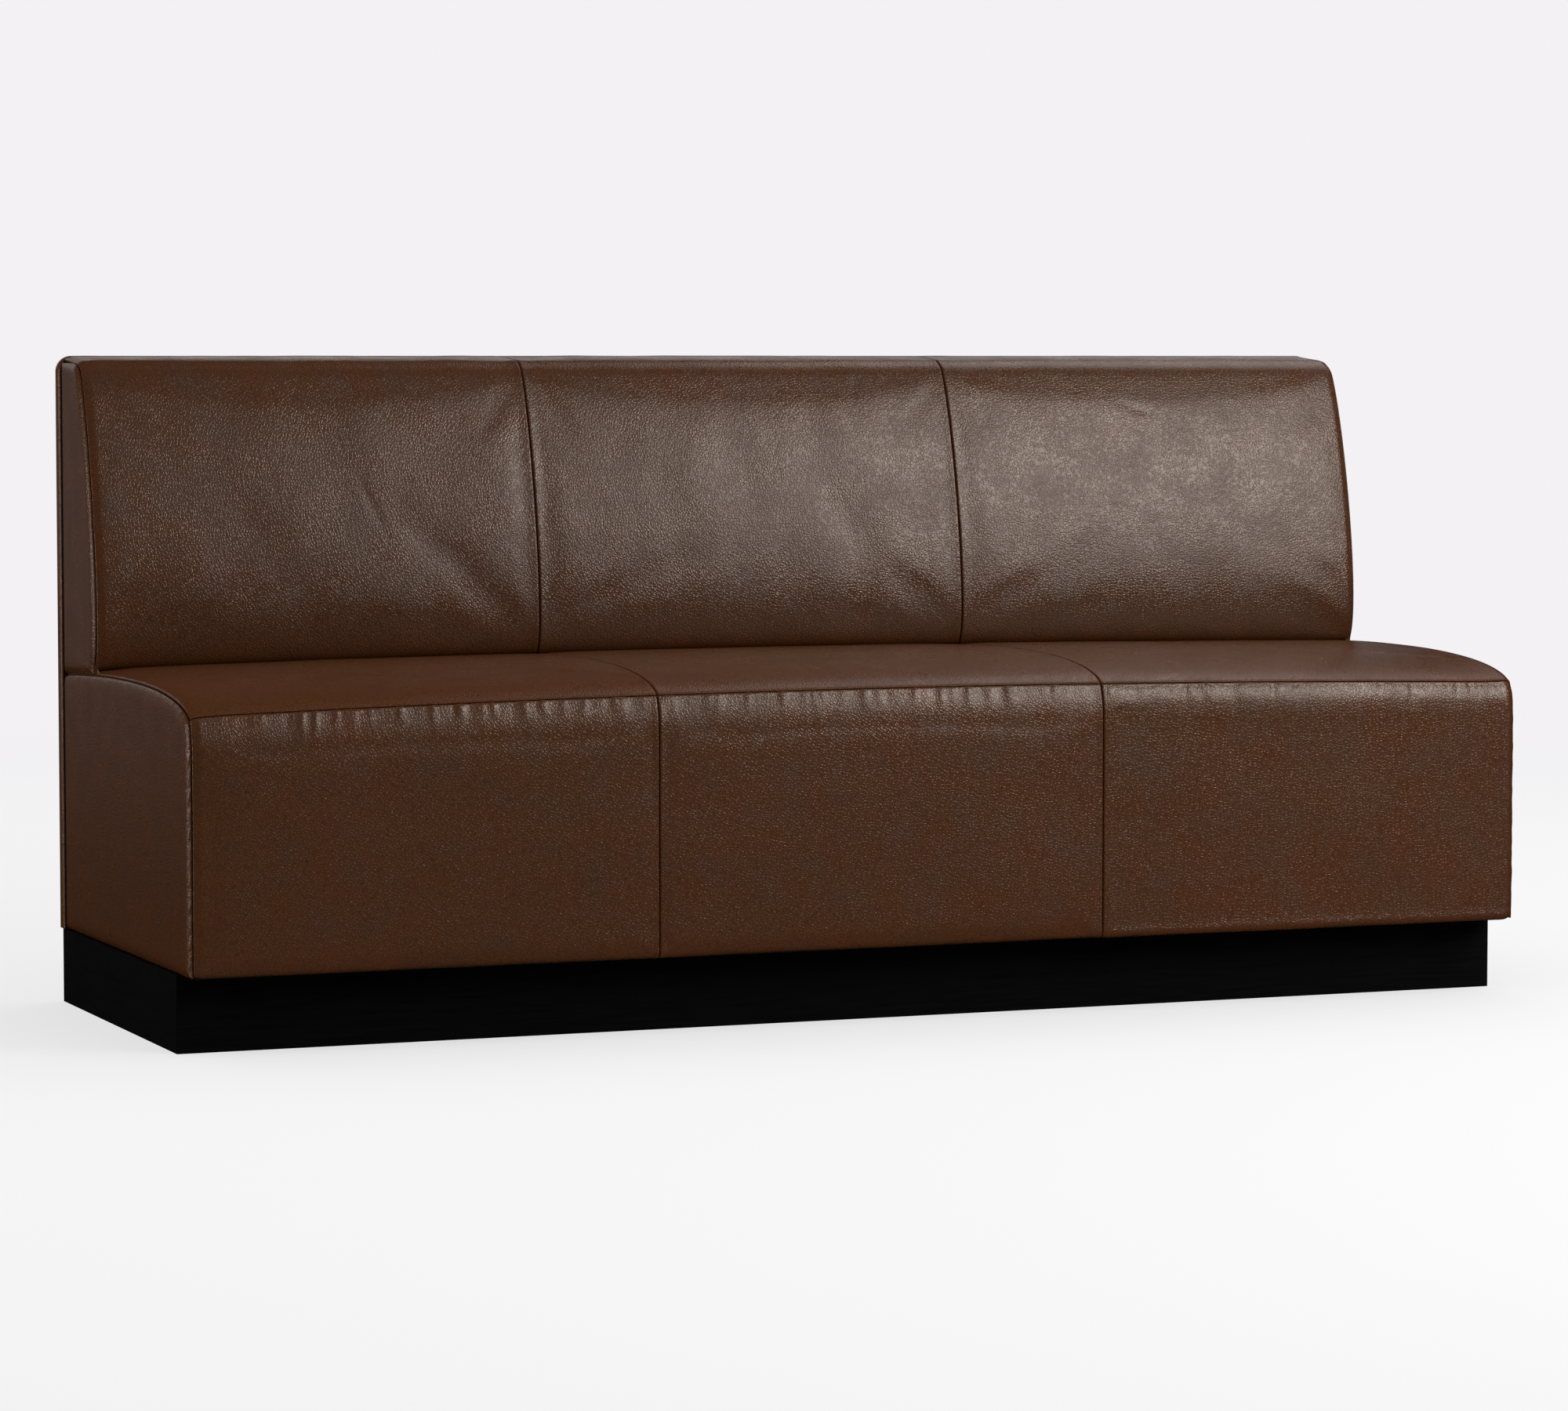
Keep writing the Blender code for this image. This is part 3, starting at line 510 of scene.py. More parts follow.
def pullUpLeather(name, shift, specular, wearAndSeatLight):
    # waxed pull-up cowhide: a pebbled grain, cloudy red and olive patches, and a satin wax sheen
    material, tree, shader = newMaterial(name)
    place = addNode(tree, "ShaderNodeTexCoord").outputs["Object"]
    cut = addNode(tree, "ShaderNodeMapping", {"Vector": place, "Location": shift}).outputs["Vector"]
    mottle = addNode(tree, "ShaderNodeTexNoise", {
        "Vector": cut, "Scale": 1 / leather["mottle"], "Detail": 2.0, "Roughness": 0.5, "Distortion": 0.4})
    cloud = addNode(tree, "ShaderNodeTexNoise", {
        "Vector": cut, "Scale": 1 / leather["cloud"], "Detail": 2.0, "Roughness": 0.4})
    patches = addNode(tree, "ShaderNodeValToRGB", {"Fac": mottle.outputs["Fac"]}, stops=[
        (0.25, linear(leather["olive"])), (0.45, linear(leather["chestnut"])),
        (0.55, linear(leather["chestnut"])), (0.75, linear(leather["red"]))])
    darker = addNode(tree, "ShaderNodeMapRange", {
        "Value": cloud.outputs["Fac"], "From Min": 0.25, "From Max": 0.75,
        "To Min": wearAndSeatLight / 5, "To Max": wearAndSeatLight})
    tone = addNode(tree, "ShaderNodeMix", {
        0: darker.outputs["Result"], 6: patches.outputs["Color"], 7: linear(leather["dark"])},
        data_type="RGBA")
    bent = addNode(tree, "ShaderNodeTexNoise", {"Vector": cut, "Scale": leather["wobble"], "Detail": 2.0})
    warped = addNode(tree, "ShaderNodeMix", {
        0: leather["wobbleShare"], 4: cut, 5: bent.outputs["Color"]}, data_type="VECTOR")
    crease = addNode(tree, "ShaderNodeTexVoronoi", {
        "Vector": warped.outputs[1], "Scale": 1 / leather["grain"]}, feature="DISTANCE_TO_EDGE")
    # painted shade: the grain's hollows are darkened towards the valley colour
    valley = addNode(tree, "ShaderNodeMapRange", {
        "Value": crease.outputs["Distance"], "From Min": 0.0, "From Max": 0.16,
        "To Min": 0.4, "To Max": 0.0})
    hollowShaded = addNode(tree, "ShaderNodeMix", {
        0: valley.outputs["Result"], 6: tone.outputs[2], 7: linear(leather["valley"])}, data_type="RGBA")
    tree.links.new(hollowShaded.outputs[2], shader.inputs["Base Color"])
    rough = addNode(tree, "ShaderNodeMapRange", {
        "Value": cloud.outputs["Fac"], "From Min": 0.3, "From Max": 0.7,
        "To Min": leather["roughness"] - 0.04, "To Max": leather["roughness"] + 0.05})
    tree.links.new(rough.outputs["Result"], shader.inputs["Roughness"])
    height = addNode(tree, "ShaderNodeMapRange", {
        "Value": crease.outputs["Distance"], "From Min": 0.0, "From Max": 0.3,
        "To Min": 0.0, "To Max": 1.0}, interpolation_type="SMOOTHSTEP")
    grain = addNode(tree, "ShaderNodeBump", {
        "Height": height.outputs["Result"], "Distance": leather["grainDepth"], "Strength": 1.0})
    pores = addNode(tree, "ShaderNodeTexNoise", {
        "Vector": cut, "Scale": 1 / leather["pores"], "Detail": 2.0})
    fine = addNode(tree, "ShaderNodeBump", {
        "Height": pores.outputs["Fac"], "Distance": leather["poreDepth"], "Strength": 0.5,
        "Normal": grain.outputs["Normal"]})
    tree.links.new(fine.outputs["Normal"], shader.inputs["Normal"])
    shader.inputs["Specular IOR Level"].default_value = specular
    shader.inputs["Specular Tint"].default_value = linear(leather["wax"])
    shader.inputs["IOR"].default_value = 1.5
    return material


# three hides each for fronts, seats and backs; the seats are rubbed duller, and paler as painted light for
# the light falling on their upward-facing tops
hides = [
    pullUpLeather("pull_up_leather_%d" % (i + 1), tuple(step * i for step in leather["cut"]),
                  leather["specular"][i // 3], leather["wearAndSeatLight"][i // 3])
    for i in range(9)
]
print("leather:", len(hides), "hides")


def woodMaterial(name, light, dark, ringWidth, roughness, along):
    # sawn timber: long streaks of darker grain along the board
    material, tree, shader = newMaterial(name)
    place = addNode(tree, "ShaderNodeTexCoord").outputs["Object"]
    squeezed = addNode(tree, "ShaderNodeMapping", {"Vector": place, "Scale": along})
    streak = addNode(tree, "ShaderNodeTexNoise", {
        "Vector": squeezed.outputs["Vector"], "Scale": 1 / ringWidth, "Detail": 5.0, "Roughness": 0.6})
    tone = addNode(tree, "ShaderNodeValToRGB", {"Fac": streak.outputs["Fac"]}, stops=[
        (0.35, linear(dark)), (0.65, linear(light))])
    tree.links.new(tone.outputs["Color"], shader.inputs["Base Color"])
    ridges = addNode(tree, "ShaderNodeBump", {"Height": streak.outputs["Fac"], "Distance": 0.0001})
    tree.links.new(ridges.outputs["Normal"], shader.inputs["Normal"])
    shader.inputs["Roughness"].default_value = roughness
    return material


def plainMaterial(name, light, dark, size, roughness, metallic, bump):
    # one tone with a fine speckle: foam cells, felt fibre, cloth or drawn wire
    material, tree, shader = newMaterial(name)
    place = addNode(tree, "ShaderNodeTexCoord").outputs["Object"]
    speckle = addNode(tree, "ShaderNodeTexNoise", {"Vector": place, "Scale": 1 / size, "Detail": 3.0})
    tone = addNode(tree, "ShaderNodeValToRGB", {"Fac": speckle.outputs["Fac"]}, stops=[
        (0.35, linear(dark)), (0.65, linear(light))])
    tree.links.new(tone.outputs["Color"], shader.inputs["Base Color"])
    cells = addNode(tree, "ShaderNodeBump", {"Height": speckle.outputs["Fac"], "Distance": bump})
    tree.links.new(cells.outputs["Normal"], shader.inputs["Normal"])
    shader.inputs["Roughness"].default_value = roughness
    shader.inputs["Metallic"].default_value = metallic
    return material


# patterns of felt, cloth and wire are finer than these sizes in metres: drawn coarser so that they show
# matt black paint over faint open grain, almost no reflection
blackWood = woodMaterial("black_painted_ash", "#060606", "#020202", 0.004, 0.85, (0.05, 0.05, 1))
blackWood.node_tree.nodes["Principled BSDF"].inputs["Specular IOR Level"].default_value = 0.08
# pale sheet timber with long soft streaks
birch = woodMaterial("birch_plywood", "#C9A878", "#AF8B5A", 0.012, 0.6, (0.1, 1, 1))
# pinkish planed rails, closer grain
beech = woodMaterial("planed_beech", "#B98D62", "#9A6E45", 0.008, 0.55, (0.08, 1, 1))
# dull grey fleece with flecks of fibre
feltCloth = plainMaterial("grey_needled_felt", "#6B6B6D", "#474749", 0.003, 0.95, 0.0, 0.0004)
# thin black lining cloth, no shine
cambric = plainMaterial("black_cambric", "#1C1C1C", "#101010", 0.0015, 0.9, 0.0, 0.0001)
# grey wire with a satin drawn skin
wire = plainMaterial("drawn_spring_wire", "#8A8A8E", "#6E6E73", 0.002, 0.4, 1.0, 0.00002)
# bright bluish plating with a faint spangle
zinc = plainMaterial("zinc_plated_steel", "#B4B6BA", "#9A9CA2", 0.004, 0.35, 1.0, 0.00002)
# painted shade: the back board's edge is coloured near black, so it shows as a dark line between the end
# pad and the outside back
paintedShadeBirch = woodMaterial("plywood_in_painted_shade", "#17110D", "#0D0907", 0.012, 0.8, (0.1, 1, 1))
coats = (("plinth_", blackWood), ("back_board", paintedShadeBirch), ("seat_end_panel", birch),
         ("seat_partition", birch), ("back_rib", birch), ("back_", beech), ("seat_front_rail", beech),
         ("seat_rear_rail", beech), ("seat_spring", wire), ("seat_to_back_bolt", zinc))
for name in nodes:
    coat = next((m for start, m in coats if name.startswith(start)), None)
    piece = bpy.data.objects.get(name)
    if coat and piece:
        piece.data.materials.clear()
        piece.data.materials.append(coat)
print("timber and metal coated")


def dressed(piece, material, slot, fill, *replaced):
    piece.data.materials.clear()
    piece.data.materials.append(material)
    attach(piece, "root")
    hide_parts(*replaced)


gathers = {
    "spacing": 0.0125, "jitter": (0.55, 1.5), "height": 0.0016, "bias": 1.4, "turns": (1, 1, 1, -0.6),
    "width": (0.0022, 0.0038), "length": (0.014, 0.032), "slant": (-0.15, 0.15), "widen": 0.6,
    "start": 0.004, "seed": 11,
    "calm": 0.16,       # the leather lies smoother towards the left end
}


def gatherRows(left, right):
    rng = random.Random(gathers["seed"] + int(left * 1000))
    found = []
    x = left + gathers["spacing"]
    while x < right - gathers["spacing"]:
        size = gathers["height"] * rng.random() ** gathers["bias"] * rng.choice(gathers["turns"])
        size *= min(1.0, (x + half) / gathers["calm"])
        found.append((x, size, rng.uniform(*gathers["width"]), rng.uniform(*gathers["length"]),
                      rng.uniform(*gathers["slant"])))
        x += gathers["spacing"] * rng.uniform(*gathers["jitter"])
    return found


def gathered(co, below, folds):
    # short folds that run away from a seam and fade out; below is each point's distance from it
    total = np.zeros(len(co), np.float32)
    for x, size, width, length, slant in folds:
        across = (co[:, 0] - x - slant * below) / (width * (1 + below / length * gathers["widen"]))
        start = np.clip(below / gathers["start"], 0, 1)
        total += size * np.exp(-across ** 2 / 2) * start * np.exp(-(below / length) ** 2)
    return total


def clear(co, run):
    # 0 at the upright seams and the ends, 1 on the open leather
    x = np.abs(co[:, 0])
    away = np.minimum(np.abs(x - seamX), half - x)
    return np.clip(away / run, 0, 1)


def dent(co, x, z, length, width, depth, slope):
    # one crease or soft hollow in a back, of half this length and width, sloping by so many degrees
    level, rising = math.cos(math.radians(slope)), math.sin(math.radians(slope))
    along = ((co[:, 0] - x) * level + (co[:, 2] - z) * rising) / length
    across = ((co[:, 2] - z) * level - (co[:, 0] - x) * rising) / width
    return -depth * np.exp(-along ** 2 - across ** 2)


backDents = {
    "left crease": dict(x=-0.525, z=0.645, length=0.040, width=0.0060, depth=0.0006, slope=-66),
    "left seat hollow": dict(x=-0.420, z=0.575, length=0.080, width=0.0220, depth=0.0015, slope=-38),
    "left outer hollow": dict(x=-0.700, z=0.640, length=0.060, width=0.0240, depth=0.0011, slope=-60),
    "centre top pinch": dict(x=0.170, z=0.800, length=0.016, width=0.0055, depth=0.0006, slope=80),
    "centre low hollow": dict(x=-0.120, z=0.560, length=0.070, width=0.0220, depth=0.0010, slope=20),
    "centre side hollow": dict(x=0.120, z=0.640, length=0.060, width=0.0260, depth=0.0010, slope=-55),
    "right top crease": dict(x=0.585, z=0.765, length=0.030, width=0.0065, depth=0.0008, slope=-18),
    "right low hollow": dict(x=0.480, z=0.560, length=0.060, width=0.0240, depth=0.0005, slope=30),
    "right outer hollow": dict(x=0.740, z=0.600, length=0.070, width=0.0240, depth=0.0006, slope=-45),
}


seatSection = seatProfile()
backSection = backProfile()
seatWalk, backWalk = walked(seatSection), walked(backSection)
atSeam = (i for i, p in enumerate(seatSection)
          if p.y > seat["seamHeight"] - 0.001 and p.x > seat["seamDepth"] - 1e-6)
frontSeam = seatWalk[next(atSeam)]
seamPoint, seamNormal = onSection(seatSection, frontSeam)

# mesh: spacing before it is refined; wave, ripple: height of the leather's soft unevenness
# behind: how far the stuffing starts behind the front seam; facing: limit for leather that faces outwards
frontPanel = {
    "mesh": 0.0050, "wave": 0.0007, "waveWidth": 0.11, "fadeIn": 0.02, "calm": 0.014, "seed": 0,
    "behind": 0.006, "under": 0.001, "skin": 0.012, "fill": 0.8,
}
seatCushion = {
    "mesh": 0.0085, "wave": 0.0008, "waveWidth": 0.13, "fadeIn": 0.03, "calm": 0.014, "seed": 5,
    "behind": 0.008, "railGap": 0.002, "facing": 0.2, "fill": 0.85,
}
backCushion = {
    "mesh": 0.0080, "wave": 0.0010, "waveWidth": 0.12, "fadeIn": 0.05, "calm": 0.03, "seed": 9,
    "ripple": 0.0006, "rippleWidth": 0.05, "rippleStretch": (1, 1, 1.8), "rippleSeed": 14,
    "fadeFrom": 0.01, "facing": 0.3, "fill": 0.85,
}

sewn = []
for bay, left, right in bays:
    inner = [seamPoint - seamNormal * frontPanel["behind"],
             flat(railFace - fit, foamBottom - frontPanel["under"])]
    panel = sewnCushion("seat_front_" + bay, seatSection, (0.0, False), (frontSeam, True), inner,
                        left, right, seatLift, seatRise, frontPanel["mesh"])
    inner = [flat(slabFront - seam["gap"], foamBottom),
             flat(railFace + seatCushion["railGap"], foamBottom),
             seamPoint - seamNormal * seatCushion["behind"]]
    cushion = sewnCushion("seat_cushion_" + bay, seatSection, (frontSeam, True), (seatWalk[-1], False),
                          inner, left, right, seatLift, seatRise, seatCushion["mesh"])
    ribHead = slabFront - back["ribHead"]
    inner = [flat(slabFront - seam["gap"], ribHigh.z + fit), flat(ribHead - fit, ribHigh.z + fit),
             flat(ribLow.y - front - fit, ribLow.z), flat(ribLow.y - front - fit, backBottom)]
    rest = sewnCushion("back_cushion_" + bay, backSection, (0.0, False), (backWalk[-1], False), inner,
                       left, right, backLift, backRise, backCushion["mesh"])
    sewn.append((panel, cushion, rest))
inflated([piece for trio in sewn for piece in trio])

for number, (bay, left, right) in enumerate(bays):
    panel, cushion, rest = sewn[number]
    for piece in sewn[number]:
        refined(piece)
    folds = gatherRows(left, right)

    def frontRule(co, normal, folds=folds, number=number):
        seamZ = np.array([seamPoint.y + seatRise(x, seat["seamDepth"]) for x in co[:, 0]], np.float32)
        below = seamZ - co[:, 2]
        outside = (co[:, 1] - front < frontPanel["skin"]) & (below > 0)
        soft = frontPanel["wave"] * clouds(co, frontPanel["waveWidth"], number + frontPanel["seed"])
        soft = soft * np.clip(below / frontPanel["fadeIn"], 0, 1) * clear(co, frontPanel["calm"])
        return np.where(outside, gathered(co, np.maximum(below, 0), folds) + soft, 0)

    def seatRule(co, normal, number=number):
        outside = normal[:, 2] > seatCushion["facing"]
        behind = co[:, 1] - front - seat["seamDepth"]
        soft = seatCushion["wave"] * clouds(co, seatCushion["waveWidth"], number + seatCushion["seed"])
        soft = soft * np.clip(behind / seatCushion["fadeIn"], 0, 1) * clear(co, seatCushion["calm"])
        return np.where(outside, soft, 0)

    def backRule(co, normal, number=number):
        outside = normal[:, 1] < backCushion["facing"]
        above = co[:, 2] - backBottom - backCushion["fadeFrom"]
        away = np.clip(above / backCushion["fadeIn"], 0, 1) * clear(co, backCushion["calm"])
        soft = backCushion["wave"] * clouds(co, backCushion["waveWidth"], number + backCushion["seed"])
        ripple = clouds(co, backCushion["rippleWidth"], number + backCushion["rippleSeed"],
                        backCushion["rippleStretch"])
        soft = soft + backCushion["ripple"] * ripple
        dents = sum(dent(co, **settings) for settings in backDents.values())
        return np.where(outside, (soft + dents) * away, 0)

    relief(panel, frontRule)
    relief(cushion, seatRule)
    relief(rest, backRule)
    extra = ("seat_front_pad",) if bay == "centre" else ()
    dressed(panel, hides[number], "brown_leather", frontPanel["fill"], "seat_front_leather_" + bay, *extra)
    dressed(cushion, hides[number + 3], "brown_leather", seatCushion["fill"],
            "seat_top_leather_" + bay, "seat_foam_" + bay)
    dressed(rest, hides[number + 6], "brown_leather", backCushion["fill"],
            "back_front_leather_" + bay, "back_foam_" + bay)
    print("cushions:", bay)


def insetCurve(profile, low, high, step, depth):
    # the part of a section between two stations, moved inwards
    stations = [low] + spread(low, high, step) + [high]
    return [p - n * depth for p, n in (onSection(profile, s) for s in stations)]


def fanned(low, high):
    # stations across a pad, close together at both rims
    lows = [low + g for g in rimSteps]
    highs = [high - g for g in reversed(rimSteps)]
    return lows + spread(lows[-1], highs[0], seam["padMesh"]) + highs


rimFolds = {"height": 0.0008, "spacing": 0.011, "length": 0.009, "start": 0.0015, "seed": 21}
endCover = {
    "lap": 0.0004,      # how far a pad ends in front of the back board
    "lift": 0.001,      # its lower edge stands this much above that of the seat fronts
    "sink": 0.0048,     # how far the back's end reaches down behind the rounded edge of the seat
    "backMesh": 0.004, "topTrim": 0.05, "topShare": 0.5, "facing": 0.3, "fill": 0.8,
    "seatFrom": 8, "backFrom": 6,       # points at a section's foot that the pad's outline leaves out
}


def endPads(side, word):
    rim = seam["corner"] * (1 - math.sin(math.pi / 4)) + seam["gap"] / 2
    fall = flat(0, -seat["endFall"][side > 0])
    bottom = leatherBottom - rim + endCover["lift"]
    rear = slabFront + rim - endCover["lap"]
    leanFoot = seat["seamHeight"] - seat["leanHeight"] - 1e-6
    rollStart = next(s for p, s in zip(seatSection, seatWalk) if p.y >= leanFoot)
    curve = [p + fall for p in insetCurve(seatSection, rollStart, seatWalk[-1], seam["padMesh"], rim)]
    depths = fanned(rim, rear - rim)
    near = [flat(d, bottom + rim) for d in depths]
    far = [flat(d, float(np.interp(d, [p.x for p in curve], [p.y for p in curve]))) for d in depths]
    outline = [flat(rear, bottom), flat(0, bottom)]
    outline += [p + fall for p in seatSection[endCover["seatFrom"]:]]
    outline += [flat(rear, seatTop(rear) + fall.y), flat(rear, bottom)]
    seatEnd = endPad("seat_end_" + word, side, near, far, outline)
    refined(seatEnd)

    def rimRule(co, normal):
        # small gathers along the corner seam
        flatCo = np.column_stack((co[:, 1] - front, co[:, 2]))
        inset = nearest(flatCo, outline[1:-2])
        along = np.column_stack((co[:, 1] + co[:, 2], np.zeros(len(co)), np.zeros(len(co))))
        size = rimFolds["height"] * clouds(along, rimFolds["spacing"], rimFolds["seed"] + side)
        fade = np.exp(-((inset - rim) / rimFolds["length"]) ** 2)
        fade = fade * np.clip((inset - rim) / rimFolds["start"], 0, 1)
        return np.where(side * normal[:, 0] > endCover["facing"], size * fade, 0)

    relief(seatEnd, rimRule)

    # the back's lower edge follows the seat, which falls towards the rear
    low, high = backBottom - endCover["sink"], top - back["topFall"] * endCover["topShare"] - rim
    lowRear = seatTop(slabFront) - endCover["sink"]
    start, end = backWalk[endCover["backFrom"]], backWalk[-1] - endCover["topTrim"]
    curve = insetCurve(backSection, start, end, endCover["backMesh"], rim)
    heights = fanned(low, high)
    near = [flat(float(np.interp(h, [p.y for p in curve], [p.x for p in curve])), h) for h in heights]
    far = [flat(rear - rim, lowRear + (h - low) * (high - lowRear) / (high - low)) for h in heights]
    outline = [flat(rear, lowRear - rim), flat(footDepth, low - rim)]
    outline += backSection[endCover["backFrom"]:] + [flat(rear, top), flat(rear, lowRear - rim)]
    backEnd = endPad("back_end_" + word, side, near, far, outline)
    return seatEnd, backEnd


for number, (word, side) in enumerate(ends):
    seatEnd, backEnd = endPads(side, word)
    refined(backEnd)
    dressed(seatEnd, hides[number + 1], "brown_leather", endCover["fill"],
            "seat_end_leather_" + word, "seat_end_pad_" + word)
    dressed(backEnd, hides[number + 6], "brown_leather", endCover["fill"], "back_end_leather_" + word)
print("end pads sewn in")

outside = {
    "corner": 0.020, "edge": 0.006, "thick": 0.0018, "mesh": 0.012,
    "edgeAngles": (0, 15, 30, 45, 60, 75, 90), "cornerShares": (0.42, 0.55, 0.7, 0.85, 1.0),
    "lipGap": 0.001, "tuckShare": 0.6, "bottom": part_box("outside_back_leather_left")[0].z,
}


def outsideBack(bay, left, right):
    # the leather over the rear board: a tray with rolled edges, open towards the front
    edge, radius, bottom = outside["edge"], outside["corner"], outside["bottom"]
    arc = [edge * (1 - math.cos(math.radians(a))) for a in outside["edgeAngles"]]
    arc += [radius * share for share in outside["cornerShares"]]

    def stops(low, high, lowEnd, highEnd):
        lows = arc if lowEnd else [seam["gap"] / 2 + g for g in edgeSteps()]
        highs = arc if highEnd else [seam["gap"] / 2 + g for g in edgeSteps()]
        inside = spread(low + lows[-1], high - highs[-1], outside["mesh"])
        return [low + g for g in lows] + inside + [high - g for g in reversed(highs)]

    xs = stops(left, right, left == -half, right == half)
    zs = stops(bottom, top, True, True)
    bm = bmesh.new()
    columns, rows = len(xs) - 1, len(zs) - 1
    bmesh.ops.create_grid(bm, x_segments=columns, y_segments=rows, size=1)
    rimVerts = set()
    for vert in bm.verts:
        x = xs[round((vert.co.x + 1) / 2 * columns)]
        z = zs[round((vert.co.y + 1) / 2 * rows)]
        toSide = half - abs(x)
        if toSide < radius:  # the outer top corner is cut round
            roof = top - radius + math.sqrt(max(0, radius ** 2 - (radius - toSide) ** 2))
            z = bottom + (z - bottom) * (roof - bottom) / (top - bottom)
        toTop = top - z
        inset = min(toSide, toTop, z - bottom)
        if toSide < radius and toTop < radius:
            inset = radius - math.hypot(radius - toSide, radius - toTop)
        turn = math.asin(min(1, max(0, 1 - inset / edge)))
        nearSeam = min(abs(x - left) if left != -half else 1.0, abs(x - right) if right != half else 1.0)
        depth = slabRear - edge * (1 - math.cos(turn)) - sunk(max(0, nearSeam - seam["gap"] / 2))
        if inset < sameSpot:
            rimVerts.add(vert)
        vert.co = (x, depth + front, z)
    border = [e for e in bm.edges if e.is_boundary]
    lips = [e for e in border if all(v in rimVerts for v in e.verts)]
    tucks = [e for e in border if e not in lips]
    for edges, lipFront in ((lips, slabFront + outside["lipGap"] + front), (tucks, None)):
        grown = bmesh.ops.extrude_edge_only(bm, edges=edges)["geom"]
        for vert in (v for v in grown if isinstance(v, bmesh.types.BMVert)):
            tucked = vert.co.y - seam["tuck"] * outside["tuckShare"]
            vert.co.y = tucked if lipFront is None else lipFront
    bmesh.ops.remove_doubles(bm, verts=bm.verts, dist=sameSpot)
    piece = finishedMesh(bm, "outside_back_" + bay)
    applied(piece, "SOLIDIFY", thickness=outside["thick"], offset=-1.0)
    return piece


for number, (bay, left, right) in enumerate(bays):
    piece = outsideBack(bay, left, right)
    dressed(piece, hides[(number + 2) % 3], "brown_leather", 0, "outside_back_leather_" + bay)
print("outside back fitted")


felt = {"bevel": 0.002, "fill": 0.9}
low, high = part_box("seat_felt_pad")
bm = bmesh.new()
bmesh.ops.create_cube(bm, size=1)
bmesh.ops.scale(bm, vec=high - low, verts=bm.verts)
bmesh.ops.translate(bm, vec=(low + high) / 2, verts=bm.verts)
bmesh.ops.bevel(bm, geom=bm.edges[:], offset=felt["bevel"], affect="EDGES", segments=2, profile=0.5,
                material=-1)
pad = finishedMesh(bm, "seat_felt")
dressed(pad, feltCloth, "felt", felt["fill"], "seat_felt_pad")

cover = {"thick": 0.0008, "sag": 0.003, "mesh": 0.04}
low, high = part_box("seat_dust_cover")
width, length = high.x - low.x, high.y - low.y
bm = bmesh.new()
columns, rows = round(width / cover["mesh"]), round(length / cover["mesh"])
bmesh.ops.create_grid(bm, x_segments=columns, y_segments=rows, size=1)
for vert in bm.verts:
    across, along = vert.co.x, vert.co.y
    sag = cover["sag"] * max(0, 1 - across ** 2) * max(0, 1 - along ** 2)
    vert.co = (across * width / 2, (low.y + high.y) / 2 + along * length / 2, high.z - sag)
sheet = finishedMesh(bm, "seat_dust_sheet")
applied(sheet, "SOLIDIFY", thickness=cover["thick"], offset=-1.0)
dressed(sheet, cambric, "cambric", 0, "seat_dust_cover")
print("felt and dust cover laid")


def softLamp(name, place, aim, size, power):
    data = bpy.data.lights.new(name, "AREA")
    data.shape = "RECTANGLE"
    data.size, data.size_y = size
    data.energy = power
    lamp = bpy.data.objects.new(name, data)
    lamp.location = place
    lamp.rotation_euler = (Vector(aim) - Vector(place)).to_track_quat("-Z", "Y").to_euler()
    scene.collection.objects.link(lamp)
    return lamp


# place, aim, width and height in metres, watts
softLamp("key", (2.4, -3.1, 2.2), (0.5, 0.1, 0.6), (1.7, 2.0), 105)
softLamp("front", (0.6, -3.5, 2.2), (0.0, 0.1, 0.6), (2.0, 2.0), 5)
softLamp("overhead", (2.4, 1.3, 3.5), (0.6, 0.0, 0.4), (2.8, 1.8), 30)
sideLamp = softLamp("left", (-4.0, 0.1, 0.9), (-0.9, 0.0, 0.5), (1.6, 2.0), 20)
sideLamp.visible_glossy = False     # no glare across the seats when seen from the other end
softLamp("strip", (-3.9, 0.5, 0.62), (-0.9, 0.0, 0.5), (0.7, 1.1), 18)   # pale line down the left corners
softLamp("rear", (0.4, 3.9, 1.8), (0.0, 0.0, 0.6), (5.0, 1.2), 12)
softLamp("left rear", (-2.6, 3.6, 1.0), (-0.9, 0.0, 0.5), (2.4, 2.4), 2.8)


def shownRays(tree):
    # 1 for what the camera sees, straight or in a mirror or glass
    rays = addNode(tree, "ShaderNodeLightPath")
    seen = addNode(tree, "ShaderNodeMath", {
        0: rays.outputs["Is Camera Ray"], 1: rays.outputs["Is Glossy Ray"]}, operation="MAXIMUM")
    return addNode(tree, "ShaderNodeMath", {0: seen.outputs[0], 1: rays.outputs["Is Transmission Ray"]},
                   operation="MAXIMUM").outputs[0]


# white light from above that fades towards the horizon, and an even pale backdrop for the camera
studio = {"sky": "#FFFFFF", "skyLow": 0.05, "skyHigh": 1.4, "backdrop": "#F3F1F4"}
world = bpy.data.worlds.new("studio")
scene.world = world
world.use_nodes = True
tree = world.node_tree
tree.nodes.clear()
aim = addNode(tree, "ShaderNodeSeparateXYZ", {0: addNode(tree, "ShaderNodeTexCoord").outputs["Generated"]})
sky = addNode(tree, "ShaderNodeMapRange", {
    "Value": aim.outputs["Z"], "From Min": 0.0, "From Max": 1.0,
    "To Min": studio["skyLow"], "To Max": studio["skyHigh"]})
fill = addNode(tree, "ShaderNodeBackground", {
    "Color": linear(studio["sky"]), "Strength": sky.outputs["Result"]})
backdrop = addNode(tree, "ShaderNodeBackground", {"Color": linear(studio["backdrop"]), "Strength": 1.0})
both = addNode(tree, "ShaderNodeMixShader", {
    0: shownRays(tree), 1: fill.outputs[0], 2: backdrop.outputs[0]})
